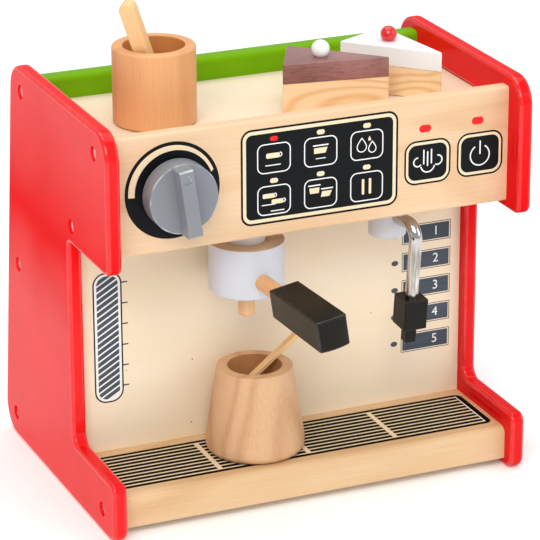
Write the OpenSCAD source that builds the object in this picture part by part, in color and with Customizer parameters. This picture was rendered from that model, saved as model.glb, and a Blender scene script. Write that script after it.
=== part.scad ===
// Wooden toy coffee maker: two profiled side panels carry a control panel, a head board with the
// portafilter plug and the steam boss, a shelf, a base board, a display panel and a leaning rear panel.
// X runs to the right, Y to the back, Z up. The origin lies under the middle of the overall box.

/* [Side panels] */
// Width over both side panels
body_width = 270; // [230:1:320]
// Thickness of a side panel
side_thickness = 9; // [7:0.5:12]
// Height of the side panels
side_height = 251; // [247:1:285]
// Depth of a side panel at the floor
foot_depth = 197; // [185:1:215]
// Depth of a side panel at its top
top_depth = 164; // [158:1:178]
// Height of the underside of the overhang
overhang_height = 167; // [162:1:170]
// Depth of the overhang ahead of the column
notch_depth = 68; // [62:1:71]
// Height of the foot ahead of the column
foot_height = 37; // [32:1:45]
// Radius of the two top corners
top_radius = 17; // [8:1:22]
// Radius of the lower rear corner
heel_radius = 18; // [8:1:24]
// Radius of the corner under the toe
toe_radius = 8; // [3:1:12]
// Radius of the small corners of the overhang and the foot
nose_radius = 6; // [3:1:9]
// Radius of the inner corner under the overhang
notch_radius = 4; // [2:1:6]
// Radius of the inner corner above the foot
instep_radius = 7; // [3:1:10]

/* [Boards] */
// Distance of the control panel from the front edges of the side panels
panel_recess = 15; // [10:1:18]
// Thickness of the control panel
panel_thickness = 9; // [7:0.5:12]
// Height of the lower edge of the control panel
panel_bottom = 172; // [171:0.5:173]
// Height of the upper edge of the control panel
panel_top = 244; // [240:1:247]
// Radius of the long edges of the control panel
panel_edge_radius = 2; // [0.5:0.5:3]
// Distance of the rear panel from the rear edges of the side panels
rear_recess = 14; // [8:1:18]
// Thickness of the rear panel
rear_thickness = 12; // [8:0.5:14]
// Height of the upper edge of the rear panel
rear_top = 245; // [238:1:247]
// Radius of the upper edges of the rear panel
rear_edge_radius = 3.5; // [1:0.5:4]
// Height of the upper face of the shelf
shelf_top = 230; // [222:1:233]
// Thickness of the shelf
shelf_thickness = 6; // [4:0.5:9]
// Height of the underside of the head board
head_bottom = 174; // [172:0.5:178]
// Thickness of the head board
head_thickness = 9; // [7:0.5:12]
// Depth of the head board
head_depth = 74; // [66:1:90]
// Distance of the base board from the front edges of the side panels
base_recess = 9; // [5:1:14]
// Height of the underside of the base board
base_bottom = 5; // [2:0.5:7]
// Height of the upper face of the base board
base_top = 25.7; // [20:0.1:26.5]
// Radius of the front upper edge of the base board
base_edge_radius = 5; // [1:0.5:6]
// Distance of the display panel from the front edges of the side panels
display_recess = 75; // [75:0.5:82]
// Thickness of the display panel
display_thickness = 5; // [3:0.5:7]
// Depth of the grooves in the side panels
groove_depth = 3; // [2:0.5:4]
// Free space on each side of a panel edge in its groove
groove_clearance = 0.1; // [0.05:0.05:0.2]

/* [Screws] */
// Diameter of the screw shanks
screw_diameter = 3.5; // [3:0.1:4]
// Length of the side screws
screw_length = 28; // [20:1:35]
// Diameter of the screw heads
screw_head = 7; // [6:0.1:7.6]
// Diameter of the counterbores in the side panels
counterbore_diameter = 9; // [8:0.1:10]
// Depth of the counterbores
counterbore_depth = 1.5; // [1:0.1:2]
// Radial play of the screws in their holes
screw_play = 0.05; // [0.02:0.01:0.1]

/* [Knob] */
// Distance of the knob axis from the left side panel
knob_inset = 38.5; // [34:0.5:46]
// Height of the knob axis
knob_height = 208; // [204:0.5:212]
// Diameter of the knob
knob_diameter = 42; // [34:1:46]
// Thickness of the knob disc
knob_thickness = 12; // [8:0.5:16]
// Gap between the knob and the control panel
knob_gap = 2.5; // [1:0.5:4]
// Height of the grip bar above the disc
bar_height = 10.5; // [6:0.5:14]
// Width of the grip bar at its crest
bar_width = 8.5; // [6:0.5:12]
// Width that the grip bar gains on each side towards the disc
bar_flare = 1; // [0.5:0.25:2]
// Length of the grip bar at its crest
bar_length = 41; // [34:1:46]
// Turn of the grip bar from upright
bar_turn = 8; // [-45:1:45]
// Diameter of the hub behind the knob
hub_diameter = 14; // [10:1:24]

/* [Portafilter] */
// Distance of the portafilter axis from the middle plane
group_offset = 30; // [24:0.5:36]
// Distance of the portafilter and boss axes from the front edges of the side panels
group_depth = 47.5; // [44:0.5:48.5]
// Diameter of the plug and of the steam boss
plug_diameter = 23; // [20:0.5:26]
// Radial play of the filter cup on the plug
filter_play = 0.5; // [0.4:0.1:1.5]
// Depth of the bore in the filter cup
filter_bore_depth = 14; // [10:0.5:14]
// Diameter of the filter cup
filter_diameter = 45.5; // [40:0.5:47]
// Height of the filter cup
filter_height = 31.5; // [31:0.5:36]
// Height of the upper face of the filter cup
filter_top = 160; // [157:0.5:162]
// Radius of the lower edge of the filter cup
filter_edge_radius = 2; // [1:0.5:3]
// Diameter of the spout and handle dowels
dowel_diameter = 10; // [8:0.5:11]
// Length of the spout below the filter cup
spout_length = 16.5; // [10:0.5:20]
// Distance of the handle dowel above the bottom of the filter cup
handle_rise = 11.2; // [9:0.2:11.4]
// Distance of the grip from the portafilter axis
grip_start = 51.8; // [40:0.2:56]
// Length of the grip
grip_length = 62; // [50:1:70]
// Width of the grip
grip_width = 19.5; // [16:0.5:24]
// Height of the grip at the filter cup
grip_near_height = 18; // [15:0.5:20]
// Height of the grip at its far end
grip_far_height = 19.5; // [16:0.5:24]
// Bulge of the far end of the grip
grip_bulge = 1.6; // [0.8:0.2:3]
// Turn of the handle from straight forward
handle_turn = 3; // [0:0.5:6]
// Roll of the grip about its dowel
grip_roll = 8.7; // [0:0.1:10]

/* [Magnets] */
// Diameter of the two disc magnets
magnet_diameter = 10; // [6:0.5:14]
// Thickness of the two disc magnets
magnet_thickness = 3; // [2:0.5:4]
// Free space round each magnet
magnet_clearance = 0.05; // [0.02:0.01:0.1]

/* [Steam wand] */
// Distance of the steam boss axis from the right side panel
boss_inset = 63.5; // [58:0.5:68]
// Distance from the underside of the head board to the underside of the steam boss
boss_height = 24.5; // [23:0.5:27]
// Radius of the lower edge of the steam boss
boss_edge_radius = 1.5; // [0.5:0.5:2.5]
// Diameter of the steam tube
tube_diameter = 8; // [6:0.5:9]
// Drop from the underside of the head board to the axis of the tube
tube_drop = 10.7; // [10:0.1:13]
// Reach of the tube from the boss axis
tube_reach = 30.4; // [28:0.2:32]
// Radius of the bend on the tube axis
bend_radius = 9; // [8:0.5:11]
// Lean of the lower leg back towards the boss
leg_lean = 5.5; // [0:0.5:8]
// Turn of the wand from straight forward
wand_turn = 10; // [0:1:20]
// Drop from the tube axis to the top of the nozzle block
nozzle_drop = 46; // [40:0.5:55]
// Width of the nozzle block
nozzle_width = 15.4; // [13:0.2:18]
// Height of the nozzle block
nozzle_height = 19.5; // [15:0.5:24]
// Turn of the nozzle block about the tube
nozzle_turn = -8; // [-20:1:20]
// Width of the nozzle tip
tip_width = 7; // [5:0.5:9]
// Length of the nozzle tip below the block
tip_length = 10.5; // [6:0.5:14]

/* [Cups] */
// Distance of the tray cup axis to the right of the portafilter axis
tray_cup_shift = 3.5; // [0:0.5:8]
// Distance of the tray cup axis from the front edges of the side panels
tray_cup_depth = 44; // [40:0.5:44]
// Radius of the tray cup at its rim
tray_cup_rim = 23; // [20:0.5:26]
// Radius of the tray cup at its widest
tray_cup_waist = 30; // [26:0.5:30.5]
// Height of the tray cup
tray_cup_height = 54; // [48:1:60]
// Height of the widest part of the tray cup
tray_cup_waist_height = 9; // [7:0.5:12]
// Radius of the bore of the tray cup
tray_cup_bore = 16.4; // [14:0.2:17]
// Depth of the bore of the tray cup
tray_cup_bore_depth = 22; // [20:0.5:26]
// Distance of the shelf cup axis from the left side panel
shelf_cup_inset = 51.5; // [46:0.5:56]
// Distance of the shelf cup axis from the front edges of the side panels
shelf_cup_depth = 79; // [74:0.5:84]
// Diameter of the shelf cup
shelf_cup_diameter = 49.6; // [44:0.2:54]
// Height of the shelf cup
shelf_cup_height = 46.5; // [42:0.5:52]
// Radius of the bore of the shelf cup
shelf_cup_bore = 18.2; // [16:0.2:20]
// Depth of the bore of the shelf cup
shelf_cup_bore_depth = 38; // [34:0.5:40]
// Radius of the rim and foot edges of the shelf cup
shelf_cup_edge = 1.5; // [0.5:0.5:2]

/* [Stirrers] */
// Length of the thin stirrer
thin_length = 70; // [60:1:80]
// Width of the thin stirrer
thin_width = 5; // [4:0.2:6]
// Thickness of the thin stirrer
thin_thickness = 3; // [2:0.2:4]
// Distance of the thin stirrer behind the axis of its cup
thin_shift = 4; // [2:0.5:4]
// Length of the thick stirrer
thick_length = 69.6; // [60:0.1:76]
// Width of the thick stirrer
thick_width = 9; // [7:0.5:10]
// Thickness of the thick stirrer
thick_thickness = 8.5; // [6:0.5:9]
// Lean of the thick stirrer from upright
thick_lean = 18; // [10:0.5:18]
// Distance of the thick stirrer ahead of the axis of its cup
thick_shift = 7; // [4:0.5:7]
// Turn of the thick stirrer about its own length
thick_turn = 41; // [30:1:50]

/* [Cake slices] */
// Length of the two long sides of a slice
slice_side = 67; // [56:1:72]
// Angle at the tip of a slice
slice_angle = 36; // [28:1:40]
// Height of the wood layer of a slice
sponge_height = 18; // [12:0.5:22]
// Height of the painted layer of a slice
icing_height = 12; // [8:0.5:16]
// Diameter of the ball on the brown slice
white_ball_diameter = 11; // [8:0.5:13]
// Diameter of the ball on the white slice
red_ball_diameter = 10; // [8:0.5:13]
// Depth of the flat that seats each ball, as a share of its radius
ball_seat = 0.2; // [0.1:0.05:0.4]

/* [Hidden] */
$fn = 96;

// Colours of the finishes
red_paint = [0.86, 0.10, 0.10];
green_paint = [0.42, 0.66, 0.12];
pale_ply = [0.93, 0.85, 0.68];
pine = [0.90, 0.76, 0.56];
beech = [0.85, 0.66, 0.45];
grey_plastic = [0.56, 0.59, 0.62];
grey_paint = [0.84, 0.84, 0.87];
black_paint = [0.09, 0.08, 0.08];
chrome = [0.80, 0.80, 0.80];
zinc = [0.66, 0.66, 0.68];

overcut = 1;
seat_gap = 0.3;
corner_slack = 1.05;
head_rim = 0.8;
head_cone = (screw_head - screw_diameter) / 2;
pan_height = 2.6;
cross_width = 0.9;
cross_reach = screw_head * 0.3;
cross_sink = 1.2;
washer_thickness = 1;
inner_half = body_width / 2 - side_thickness;
grip_reach = grip_start + grip_length;
grip_end_radius = (pow(grip_width / 2, 2) + pow(grip_bulge, 2)) / (2 * grip_bulge);
handle_tip = group_depth - (grip_reach - grip_end_radius) * cos(handle_turn) - grip_end_radius;
lean = atan((foot_depth - top_depth) / side_height);
heel_y = foot_depth + heel_radius * (1 - 1 / tan(45 - lean / 2));
front_y = -(heel_y + handle_tip) / 2;
panel_y = front_y + panel_recess;
panel_back_y = panel_y + panel_thickness;
display_y = front_y + display_recess;
base_y = front_y + base_recess;
group_y = front_y + group_depth;
rear_run = rear_thickness / cos(lean);
head_mid_y = panel_back_y + head_depth / 2;
knob_offset = inner_half - knob_inset;
boss_offset = inner_half - boss_inset;
tray_cup_offset = group_offset - tray_cup_shift;
shelf_cup_offset = inner_half - shelf_cup_inset;

function rear_edge_y(z) = front_y + foot_depth - z * tan(lean);
function rear_back_y(z) = rear_edge_y(z) - rear_recess;
function rear_front_y(z) = rear_back_y(z) - rear_run;
function rear_mid_y(z) = rear_back_y(z) - rear_run / 2;

// Places of the side screws as [y, z]: control panel, head board, base board, rear panel
rear_screw_rise = 10.5;
rear_screw_share = 0.48;
rear_screw_drop = 9;
rear_screw_heights = [base_bottom + rear_screw_rise, side_height * rear_screw_share,
    rear_top - rear_screw_drop];
panel_screw_drop = 8;
base_screw_inset = 10.5;
side_screw_places = concat(
    [[panel_y + panel_thickness / 2, panel_top - panel_screw_drop],
     [head_mid_y, head_bottom + head_thickness / 2],
     [base_y + base_screw_inset, (base_bottom + base_top) / 2]],
    [for (z = rear_screw_heights) [rear_mid_y(z), z]]);

// ---- helpers -------------------------------------------------------------------------------

// Extrudes a (y, z) outline along X, starting at x
module along_x(x, length) {
    translate([x, 0, 0]) rotate([90, 0, 90]) linear_extrude(length) children();
}

function unit(v) = v / norm(v);

// Sliver between corner i of an outline and the arc of radius r that rounds it
module corner_sliver(corners, i, r) {
    n = len(corners);
    b = corners[i][0];
    u = unit(corners[(i + n - 1) % n][0] - b);
    v = unit(corners[(i + 1) % n][0] - b);
    half = acos(u * v) / 2;
    centre = b + unit(u + v) * r / sin(half);
    reach = r / tan(half);
    difference() {
        polygon([for (p = [centre, b + u * reach, b, b + v * reach]) centre + (p - centre) * corner_slack]);
        translate(centre) circle(r, $fn = r > 5 ? 96 : 48);
    }
}

// Closed outline, corners as [point, radius]: a radius above 0 rounds the corner outwards
module rounded(corners) {
    difference() {
        polygon([for (corner = corners) corner[0]]);
        for (i = [0 : len(corners) - 1]) if (corners[i][1] > 0) corner_sliver(corners, i, corners[i][1]);
    }
}

// Board along X from x: a radius below 0 fills the inner corner of its outline
module board(x, length, corners) {
    along_x(x, length) rounded(corners);
    for (i = [0 : len(corners) - 1]) if (corners[i][1] < 0)
        along_x(x, length) corner_sliver(corners, i, -corners[i][1]);
}

// Square section along Z with rounded long edges
module square_bar(width, length, edge) {
    linear_extrude(length)
        rounded([for (c = [[-1, -1], [1, -1], [1, 1], [-1, 1]]) [c * width / 2, edge]]);
}

// Shank hole or shank along Z from the origin
module shank(length, play = 0) {
    cylinder(d = screw_diameter + 2 * play, h = length);
}

// Cross slot sunk by depth into a head whose top lies at z = 0
module cross_slot(depth) {
    for (turn = [0, 90])
        rotate([0, 0, turn]) translate([-cross_reach, -cross_width / 2, -depth])
            cube([2 * cross_reach, cross_width, depth + overcut]);
}

// Countersunk wood screw: head top at z = 0, shank down, play widens it into its hole
module sunk_body(length, play = 0) {
    translate([0, 0, -head_rim]) cylinder(d = screw_head + 2 * play, h = head_rim);
    translate([0, 0, -head_rim - head_cone - play])
        cylinder(d1 = screw_diameter, d2 = screw_head + 2 * play, h = head_cone + play);
    translate([0, 0, -length - play]) shank(length + play - head_rim, play);
}

module wood_screw(length) {
    difference() {
        union() sunk_body(length);
        cross_slot(head_rim);
    }
}

// Round-head screw: head top at z = 0, its shank reaches length below the head
module pan_screw(length) {
    difference() {
        union() {
            translate([0, 0, -pan_height]) cylinder(d = screw_head, h = pan_height);
            translate([0, 0, -pan_height - length]) shank(length + pan_height);
        }
        cross_slot(cross_sink);
    }
}

// Flat ring under a screw head, on z = 0
module washer(diameter) {
    difference() {
        cylinder(d = diameter, h = washer_thickness);
        translate([0, 0, -overcut]) shank(washer_thickness + 2 * overcut, screw_play);
    }
}

// Turns +Z to point out of the right or left side panel
module outward(side) {
    rotate([0, side * 90, 0]) children();
}

// Places children at every side screw, z = 0 on the outer face of the panel
module at_side_screws() {
    for (side = [-1, 1])
        for (place = side_screw_places)
            translate([side * body_width / 2, place[0], place[1]]) outward(side) children();
}

module side_screw_holes() {
    at_side_screws() translate([0, 0, -counterbore_depth]) sunk_body(screw_length, screw_play);
}

// ---- housing -------------------------------------------------------------------------------

// Outline of a side panel: foot, leaning rear edge, top, overhang, column, instep
side_outline = [
    [[front_y, 0], toe_radius],
    [[front_y + foot_depth, 0], heel_radius],
    [[front_y + top_depth, side_height], top_radius],
    [[front_y, side_height], top_radius],
    [[front_y, overhang_height], nose_radius],
    [[front_y + notch_depth, overhang_height], -notch_radius],
    [[front_y + notch_depth, foot_height], -instep_radius],
    [[front_y, foot_height], nose_radius]];

module side_panel(side) {
    x = side > 0 ? inner_half : -inner_half - side_thickness;
    groove_x = side > 0 ? inner_half - overcut : -inner_half - groove_depth;
    shelf_low = shelf_top - shelf_thickness;
    difference() {
        board(x, side_thickness, side_outline);
        // shelf groove
        along_x(groove_x, groove_depth + overcut)
            polygon([[panel_back_y, shelf_low - groove_clearance],
                     [panel_back_y, shelf_top + groove_clearance],
                     [rear_front_y(shelf_top), shelf_top + groove_clearance],
                     [rear_front_y(shelf_low), shelf_low - groove_clearance]]);
        // display panel groove
        translate([groove_x, display_y - groove_clearance, base_top])
            cube([groove_depth + overcut, display_thickness + 2 * groove_clearance,
                  head_bottom - base_top]);
        side_screw_holes();
        at_side_screws() translate([0, 0, -counterbore_depth])
            cylinder(d = counterbore_diameter, h = counterbore_depth + overcut);
    }
}

module left_side_panel() {
    color(red_paint) side_panel(-1);
}

module right_side_panel() {
    color(red_paint) side_panel(1);
}

module front_panel() {
    color(pine) difference() {
        along_x(-inner_half, 2 * inner_half)
            rounded([[[panel_y, panel_bottom], panel_edge_radius],
                             [[panel_back_y, panel_bottom], 0],
                             [[panel_back_y, panel_top], panel_edge_radius],
                             [[panel_y, panel_top], panel_edge_radius]]);
        side_screw_holes();
        translate([-knob_offset, panel_y - overcut, knob_height])
            rotate([-90, 0, 0]) shank(panel_thickness + 2 * overcut, screw_play);
    }
}

module top_shelf() {
    reach = inner_half + groove_depth - groove_clearance;
    low = shelf_top - shelf_thickness;
    color(pale_ply) along_x(-reach, 2 * reach)
        polygon([[panel_back_y, low], [rear_front_y(low), low],
                 [rear_front_y(shelf_top), shelf_top], [panel_back_y, shelf_top]]);
}

module rear_panel() {
    color(green_paint) difference() {
        along_x(-inner_half, 2 * inner_half)
            rounded([[[rear_front_y(base_bottom), base_bottom], 0],
                             [[rear_back_y(base_bottom), base_bottom], 0],
                             [[rear_back_y(rear_top), rear_top], rear_edge_radius],
                             [[rear_front_y(rear_top), rear_top], rear_edge_radius]]);
        side_screw_holes();
    }
}

module head_board() {
    color(pine) difference() {
        translate([-inner_half, panel_back_y, head_bottom])
            cube([2 * inner_half, head_depth, head_thickness]);
        side_screw_holes();
        for (x = [-group_offset, boss_offset])
            translate([x, group_y, head_bottom - overcut])
                shank(head_thickness + 2 * overcut, screw_play);
    }
}

module display_panel() {
    reach = inner_half + groove_depth - groove_clearance;
    color(pale_ply) translate([-reach, display_y, base_top])
        cube([2 * reach, display_thickness, head_bottom - base_top]);
}

module base_board() {
    color(pine) difference() {
        along_x(-inner_half, 2 * inner_half)
            rounded([[[base_y, base_bottom], 0],
                             [[rear_front_y(base_bottom), base_bottom], 0],
                             [[rear_front_y(base_top), base_top], 0],
                             [[base_y, base_top], base_edge_radius]]);
        side_screw_holes();
    }
}

module side_screws() {
    color(zinc) at_side_screws() translate([0, 0, -counterbore_depth]) wood_screw(screw_length);
}

// ---- group head ----------------------------------------------------------------------------

plug_bottom = filter_top - filter_bore_depth + seat_gap;
plug_screw_bite = 16;
head_screw_length = head_thickness + plug_screw_bite;

// Magnet pocket mouth at z = 0, pocket towards +Z
module magnet_pocket() {
    translate([0, 0, -overcut])
        cylinder(d = magnet_diameter + 2 * magnet_clearance,
            h = magnet_thickness + magnet_clearance + overcut);
}

module group_plug() {
    color(grey_paint) translate([-group_offset, group_y, 0]) difference() {
        translate([0, 0, plug_bottom]) cylinder(d = plug_diameter, h = head_bottom - plug_bottom);
        translate([0, 0, plug_bottom]) magnet_pocket();
        translate([0, 0, head_bottom + head_thickness - head_screw_length - overcut])
            shank(head_screw_length, screw_play);
    }
}

module plug_magnet() {
    color(chrome) translate([-group_offset, group_y, plug_bottom])
        cylinder(d = magnet_diameter, h = magnet_thickness);
}

module plug_screw() {
    color(zinc) translate([-group_offset, group_y, head_bottom + head_thickness + pan_height])
        pan_screw(head_screw_length);
}

// ---- knob ----------------------------------------------------------------------------------

knob_back_y = panel_y - knob_gap;
knob_screw_bite = 9;
pilot_room = 0.5;
knob_rim = 1;
bar_rounding = 1.5;
mark_size = 4.6;
mark_sink = 0.4;
mark_place = 8;
washer_rim = 2;

// Puts +Z along -Y, out of the control panel, on the knob axis
module knob_axis() {
    translate([-knob_offset, knob_back_y, knob_height]) rotate([90, 0, 0]) children();
}

// Grip bar across the knob: flared flanks, rounded ends
module knob_bar() {
    top = knob_thickness + bar_height;
    half = bar_width / 2;
    intersection() {
        translate([0, bar_length, 0]) rotate([90, 0, 0]) linear_extrude(2 * bar_length)
            polygon([[-half - bar_flare, 0], [half + bar_flare, 0], [half, top], [-half, top]]);
        rotate([90, 0, 90]) translate([0, 0, -bar_width]) linear_extrude(2 * bar_width)
            rounded([[[-bar_length / 2, knob_thickness / 2], 0], [[bar_length / 2, knob_thickness / 2], 0],
                     [[bar_length / 2, top], bar_rounding], [[-bar_length / 2, top], bar_rounding]]);
    }
}

module knob() {
    color(grey_plastic) knob_axis() difference() {
        union() {
            rotate_extrude() rounded([[[0, 0], 0], [[knob_diameter / 2, 0], 0],
                [[knob_diameter / 2, knob_thickness], knob_rim], [[0, knob_thickness], 0]]);
            translate([0, 0, seat_gap - knob_gap]) cylinder(d = hub_diameter, h = knob_gap + knob_rim);
            rotate([0, 0, bar_turn]) knob_bar();
        }
        // pressed pointer mark
        rotate([0, 0, bar_turn])
            translate([0, bar_length / 2 - mark_place, knob_thickness + bar_height - mark_sink])
                linear_extrude(mark_sink + overcut)
                    polygon([[-mark_size / 2, 0], [mark_size / 2, 0], [0, mark_size]]);
        // pilot for the knob screw
        translate([0, 0, -knob_gap - overcut]) shank(knob_gap + knob_screw_bite + overcut, screw_play);
    }
}

module knob_screw() {
    color(zinc)
        translate([-knob_offset, panel_back_y + seat_gap + washer_thickness + pan_height, knob_height])
            rotate([-90, 0, 0])
                pan_screw(washer_thickness + seat_gap + panel_thickness + knob_gap
                          + knob_screw_bite - pilot_room);
}

module knob_washer() {
    color(zinc) translate([-knob_offset, panel_back_y + seat_gap, knob_height])
        rotate([-90, 0, 0]) washer(screw_head + 2 * washer_rim);
}

// ---- portafilter ---------------------------------------------------------------------------

filter_bottom = filter_top - filter_height;
handle_z = filter_bottom + handle_rise;
dowel_socket = 10;

// Local frame of the portafilter: Z on its axis, X along the handle
module portafilter_frame() {
    translate([-group_offset, group_y, 0]) rotate([0, 0, handle_turn - 90]) children();
}

dowel_start = filter_diameter / 2 - dowel_socket - 2;
dowel_end = grip_start + dowel_socket + 2;
dowel_chamfer = 0.8;

module filter_cup() {
    floor_z = filter_top - filter_bore_depth;
    color(grey_paint) portafilter_frame() difference() {
        rotate_extrude() rounded([[[0, filter_bottom], 0],
            [[filter_diameter / 2, filter_bottom], filter_edge_radius],
            [[filter_diameter / 2, filter_top], 0], [[0, filter_top], 0]]);
        translate([0, 0, floor_z])
            cylinder(r = plug_diameter / 2 + filter_play, h = filter_bore_depth + overcut);
        translate([0, 0, floor_z]) mirror([0, 0, 1]) magnet_pocket();
        translate([0, 0, filter_bottom - overcut]) cylinder(d = dowel_diameter, h = dowel_socket + overcut);
        translate([dowel_start, 0, handle_z]) rotate([0, 90, 0])
            cylinder(d = dowel_diameter, h = filter_diameter);
    }
}

module filter_magnet() {
    color(chrome) translate([-group_offset, group_y, filter_top - filter_bore_depth - magnet_thickness])
        cylinder(d = magnet_diameter, h = magnet_thickness);
}

module spout() {
    color(beech) portafilter_frame() translate([0, 0, filter_bottom - spout_length]) union() {
        cylinder(d1 = dowel_diameter - 2 * dowel_chamfer, d2 = dowel_diameter, h = dowel_chamfer);
        translate([0, 0, dowel_chamfer])
            cylinder(d = dowel_diameter, h = spout_length + dowel_socket - dowel_chamfer);
    }
}

module handle_dowel() {
    color(beech) portafilter_frame() translate([dowel_start, 0, handle_z]) rotate([0, 90, 0])
        cylinder(d = dowel_diameter, h = dowel_end - dowel_start);
}

// Plan of the grip: straight flanks and a bulged far end
module grip_plan() {
    intersection() {
        translate([grip_start, -grip_width / 2]) square([grip_length, grip_width]);
        union() {
            translate([grip_start, -grip_width]) square([grip_length / 2, 2 * grip_width]);
            translate([grip_reach - grip_end_radius, 0]) circle(grip_end_radius);
        }
    }
}

module handle_grip() {
    near = grip_near_height / 2;
    far = grip_far_height / 2;
    color(black_paint) portafilter_frame() translate([0, 0, handle_z]) rotate([grip_roll, 0, 0])
        difference() {
            intersection() {
                translate([0, 0, -grip_width]) linear_extrude(2 * grip_width) grip_plan();
                // side view, taller towards the far end
                translate([0, grip_width, 0]) rotate([90, 0, 0]) linear_extrude(2 * grip_width)
                    polygon([[grip_start, -near], [grip_reach, -far],
                        [grip_reach, far], [grip_start, near]]);
            }
            translate([grip_start - overcut, 0, 0]) rotate([0, 90, 0])
                cylinder(d = dowel_diameter, h = dowel_end - grip_start + overcut);
        }
}

// ---- steam wand ----------------------------------------------------------------------------

boss_top = head_bottom - seat_gap;
boss_bottom = head_bottom - boss_height;
tube_height = head_bottom - tube_drop;
bend_tangent = bend_radius * tan((90 + leg_lean) / 2);
bend_x = tube_reach - bend_tangent;
tube_start = 2;
bend_relief = 0.1;
bend_lap = 0.3;
leg_start = [bend_x + bend_radius * cos(leg_lean), tube_height - bend_radius * (1 + sin(leg_lean))];
leg_to_nozzle = (leg_start[1] - (tube_height - nozzle_drop)) / cos(leg_lean);
tube_socket = 10;
boss_bite = 5;
nozzle_edge = 0.6;

// Local frame of the wand: Z on the boss axis, X along the tube
module wand_frame() {
    translate([boss_offset, group_y, 0]) rotate([0, 0, wand_turn - 90]) children();
}

// Local frame of the leg: origin at its start, -Z down the leg
module leg_frame() {
    wand_frame() translate([leg_start[0], 0, leg_start[1]]) rotate([0, leg_lean, 0]) children();
}

module steam_boss() {
    color(grey_paint) wand_frame() difference() {
        rotate_extrude() rounded([[[0, boss_bottom], 0],
            [[plug_diameter / 2, boss_bottom], boss_edge_radius],
            [[plug_diameter / 2, boss_top], 0], [[0, boss_top], 0]]);
        translate([tube_start, 0, tube_height]) rotate([0, 90, 0])
            cylinder(d = tube_diameter, h = plug_diameter);
        translate([0, 0, boss_top - boss_bite]) shank(boss_bite + overcut, screw_play);
    }
}

washer_z = head_bottom + head_thickness + seat_gap;

module boss_screw() {
    color(zinc) translate([boss_offset, group_y, washer_z + washer_thickness + pan_height])
        pan_screw(washer_z + washer_thickness - boss_top + boss_bite - pilot_room);
}

module boss_washer() {
    color(zinc) translate([boss_offset, group_y, washer_z]) washer(screw_head + 2 * washer_rim);
}

// The bend is a hair thinner than the straight runs that lap over its ends
module steam_tube() {
    color(chrome) union() {
        wand_frame() translate([tube_start, 0, tube_height]) rotate([0, 90, 0])
            cylinder(d = tube_diameter, h = bend_x - tube_start + bend_lap);
        wand_frame() translate([bend_x, 0, tube_height - bend_radius]) rotate([90, 0, 0])
            rotate([0, 0, -leg_lean]) rotate_extrude(angle = 90 + leg_lean)
                translate([bend_radius, 0]) circle(d = tube_diameter - bend_relief, $fn = 48);
        leg_frame() translate([0, 0, -leg_to_nozzle - tube_socket])
            cylinder(d = tube_diameter, h = leg_to_nozzle + tube_socket + bend_lap);
    }
}

module nozzle_block() {
    color(black_paint) leg_frame() translate([0, 0, -leg_to_nozzle - nozzle_height])
        rotate([0, 0, nozzle_turn]) difference() {
            square_bar(nozzle_width, nozzle_height, nozzle_edge);
            translate([0, 0, nozzle_height - tube_socket])
                cylinder(d = tube_diameter, h = tube_socket + overcut);
        }
}

module nozzle_tip() {
    color(black_paint) leg_frame() translate([0, 0, -leg_to_nozzle - nozzle_height - tip_length])
        rotate([0, 0, nozzle_turn]) square_bar(tip_width, tip_length, nozzle_edge);
}

// ---- cups and stirrers ---------------------------------------------------------------------

tray_cup_y = front_y + tray_cup_depth;
tray_cup_z = base_top + seat_gap;
tray_cup_foot = 4.5;
tray_cup_lip = 0.6;
shelf_cup_y = front_y + shelf_cup_depth;
shelf_cup_z = shelf_top + seat_gap;

module tray_cup() {
    color(beech) translate([-tray_cup_offset, tray_cup_y, tray_cup_z]) difference() {
        rotate_extrude() rounded([[[0, 0], 0], [[tray_cup_waist, 0], tray_cup_foot],
            [[tray_cup_waist, tray_cup_waist_height], 0],
            [[tray_cup_rim, tray_cup_height], tray_cup_lip], [[0, tray_cup_height], 0]]);
        translate([0, 0, tray_cup_height - tray_cup_bore_depth])
            cylinder(r = tray_cup_bore, h = tray_cup_bore_depth + overcut);
    }
}

module shelf_cup() {
    radius = shelf_cup_diameter / 2;
    color(beech) translate([-shelf_cup_offset, shelf_cup_y, shelf_cup_z]) difference() {
        rotate_extrude() rounded([[[0, 0], 0], [[radius, 0], shelf_cup_edge],
            [[radius, shelf_cup_height], shelf_cup_edge], [[0, shelf_cup_height], 0]]);
        translate([0, 0, shelf_cup_height - shelf_cup_bore_depth])
            cylinder(r = shelf_cup_bore, h = shelf_cup_bore_depth + overcut);
    }
}

// Stick along +X from the origin, both ends half round in plan
module stick(length, width, thickness) {
    translate([0, 0, -thickness / 2]) linear_extrude(thickness) union() {
        translate([width / 2, -width / 2]) square([length - width, width]);
        for (x = [width / 2, length - width / 2]) translate([x, 0]) circle(d = width, $fn = 48);
    }
}

// The thin stirrer stands on the floor of the tray cup at the left and leans on its rim at the right
foot_room = 2;
thin_half_chord = sqrt(pow(tray_cup_bore, 2) - pow(thin_shift + thin_width / 2, 2));
thin_pitch = atan(tray_cup_bore_depth / (2 * thin_half_chord - foot_room));
thin_lift = thin_thickness / 2 + seat_gap;
thin_foot_x = -tray_cup_offset + thin_half_chord - thin_lift * sin(thin_pitch)
    - (tray_cup_bore_depth + seat_gap * (cos(thin_pitch) - 1)) / tan(thin_pitch);
thin_foot_z = tray_cup_z + tray_cup_height - tray_cup_bore_depth + seat_gap
    + thin_thickness / 2 * cos(thin_pitch);

module tray_stirrer() {
    color(pine) translate([thin_foot_x, tray_cup_y + thin_shift, thin_foot_z]) rotate([0, -thin_pitch, 0])
        stick(thin_length, thin_width, thin_thickness);
}

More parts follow.
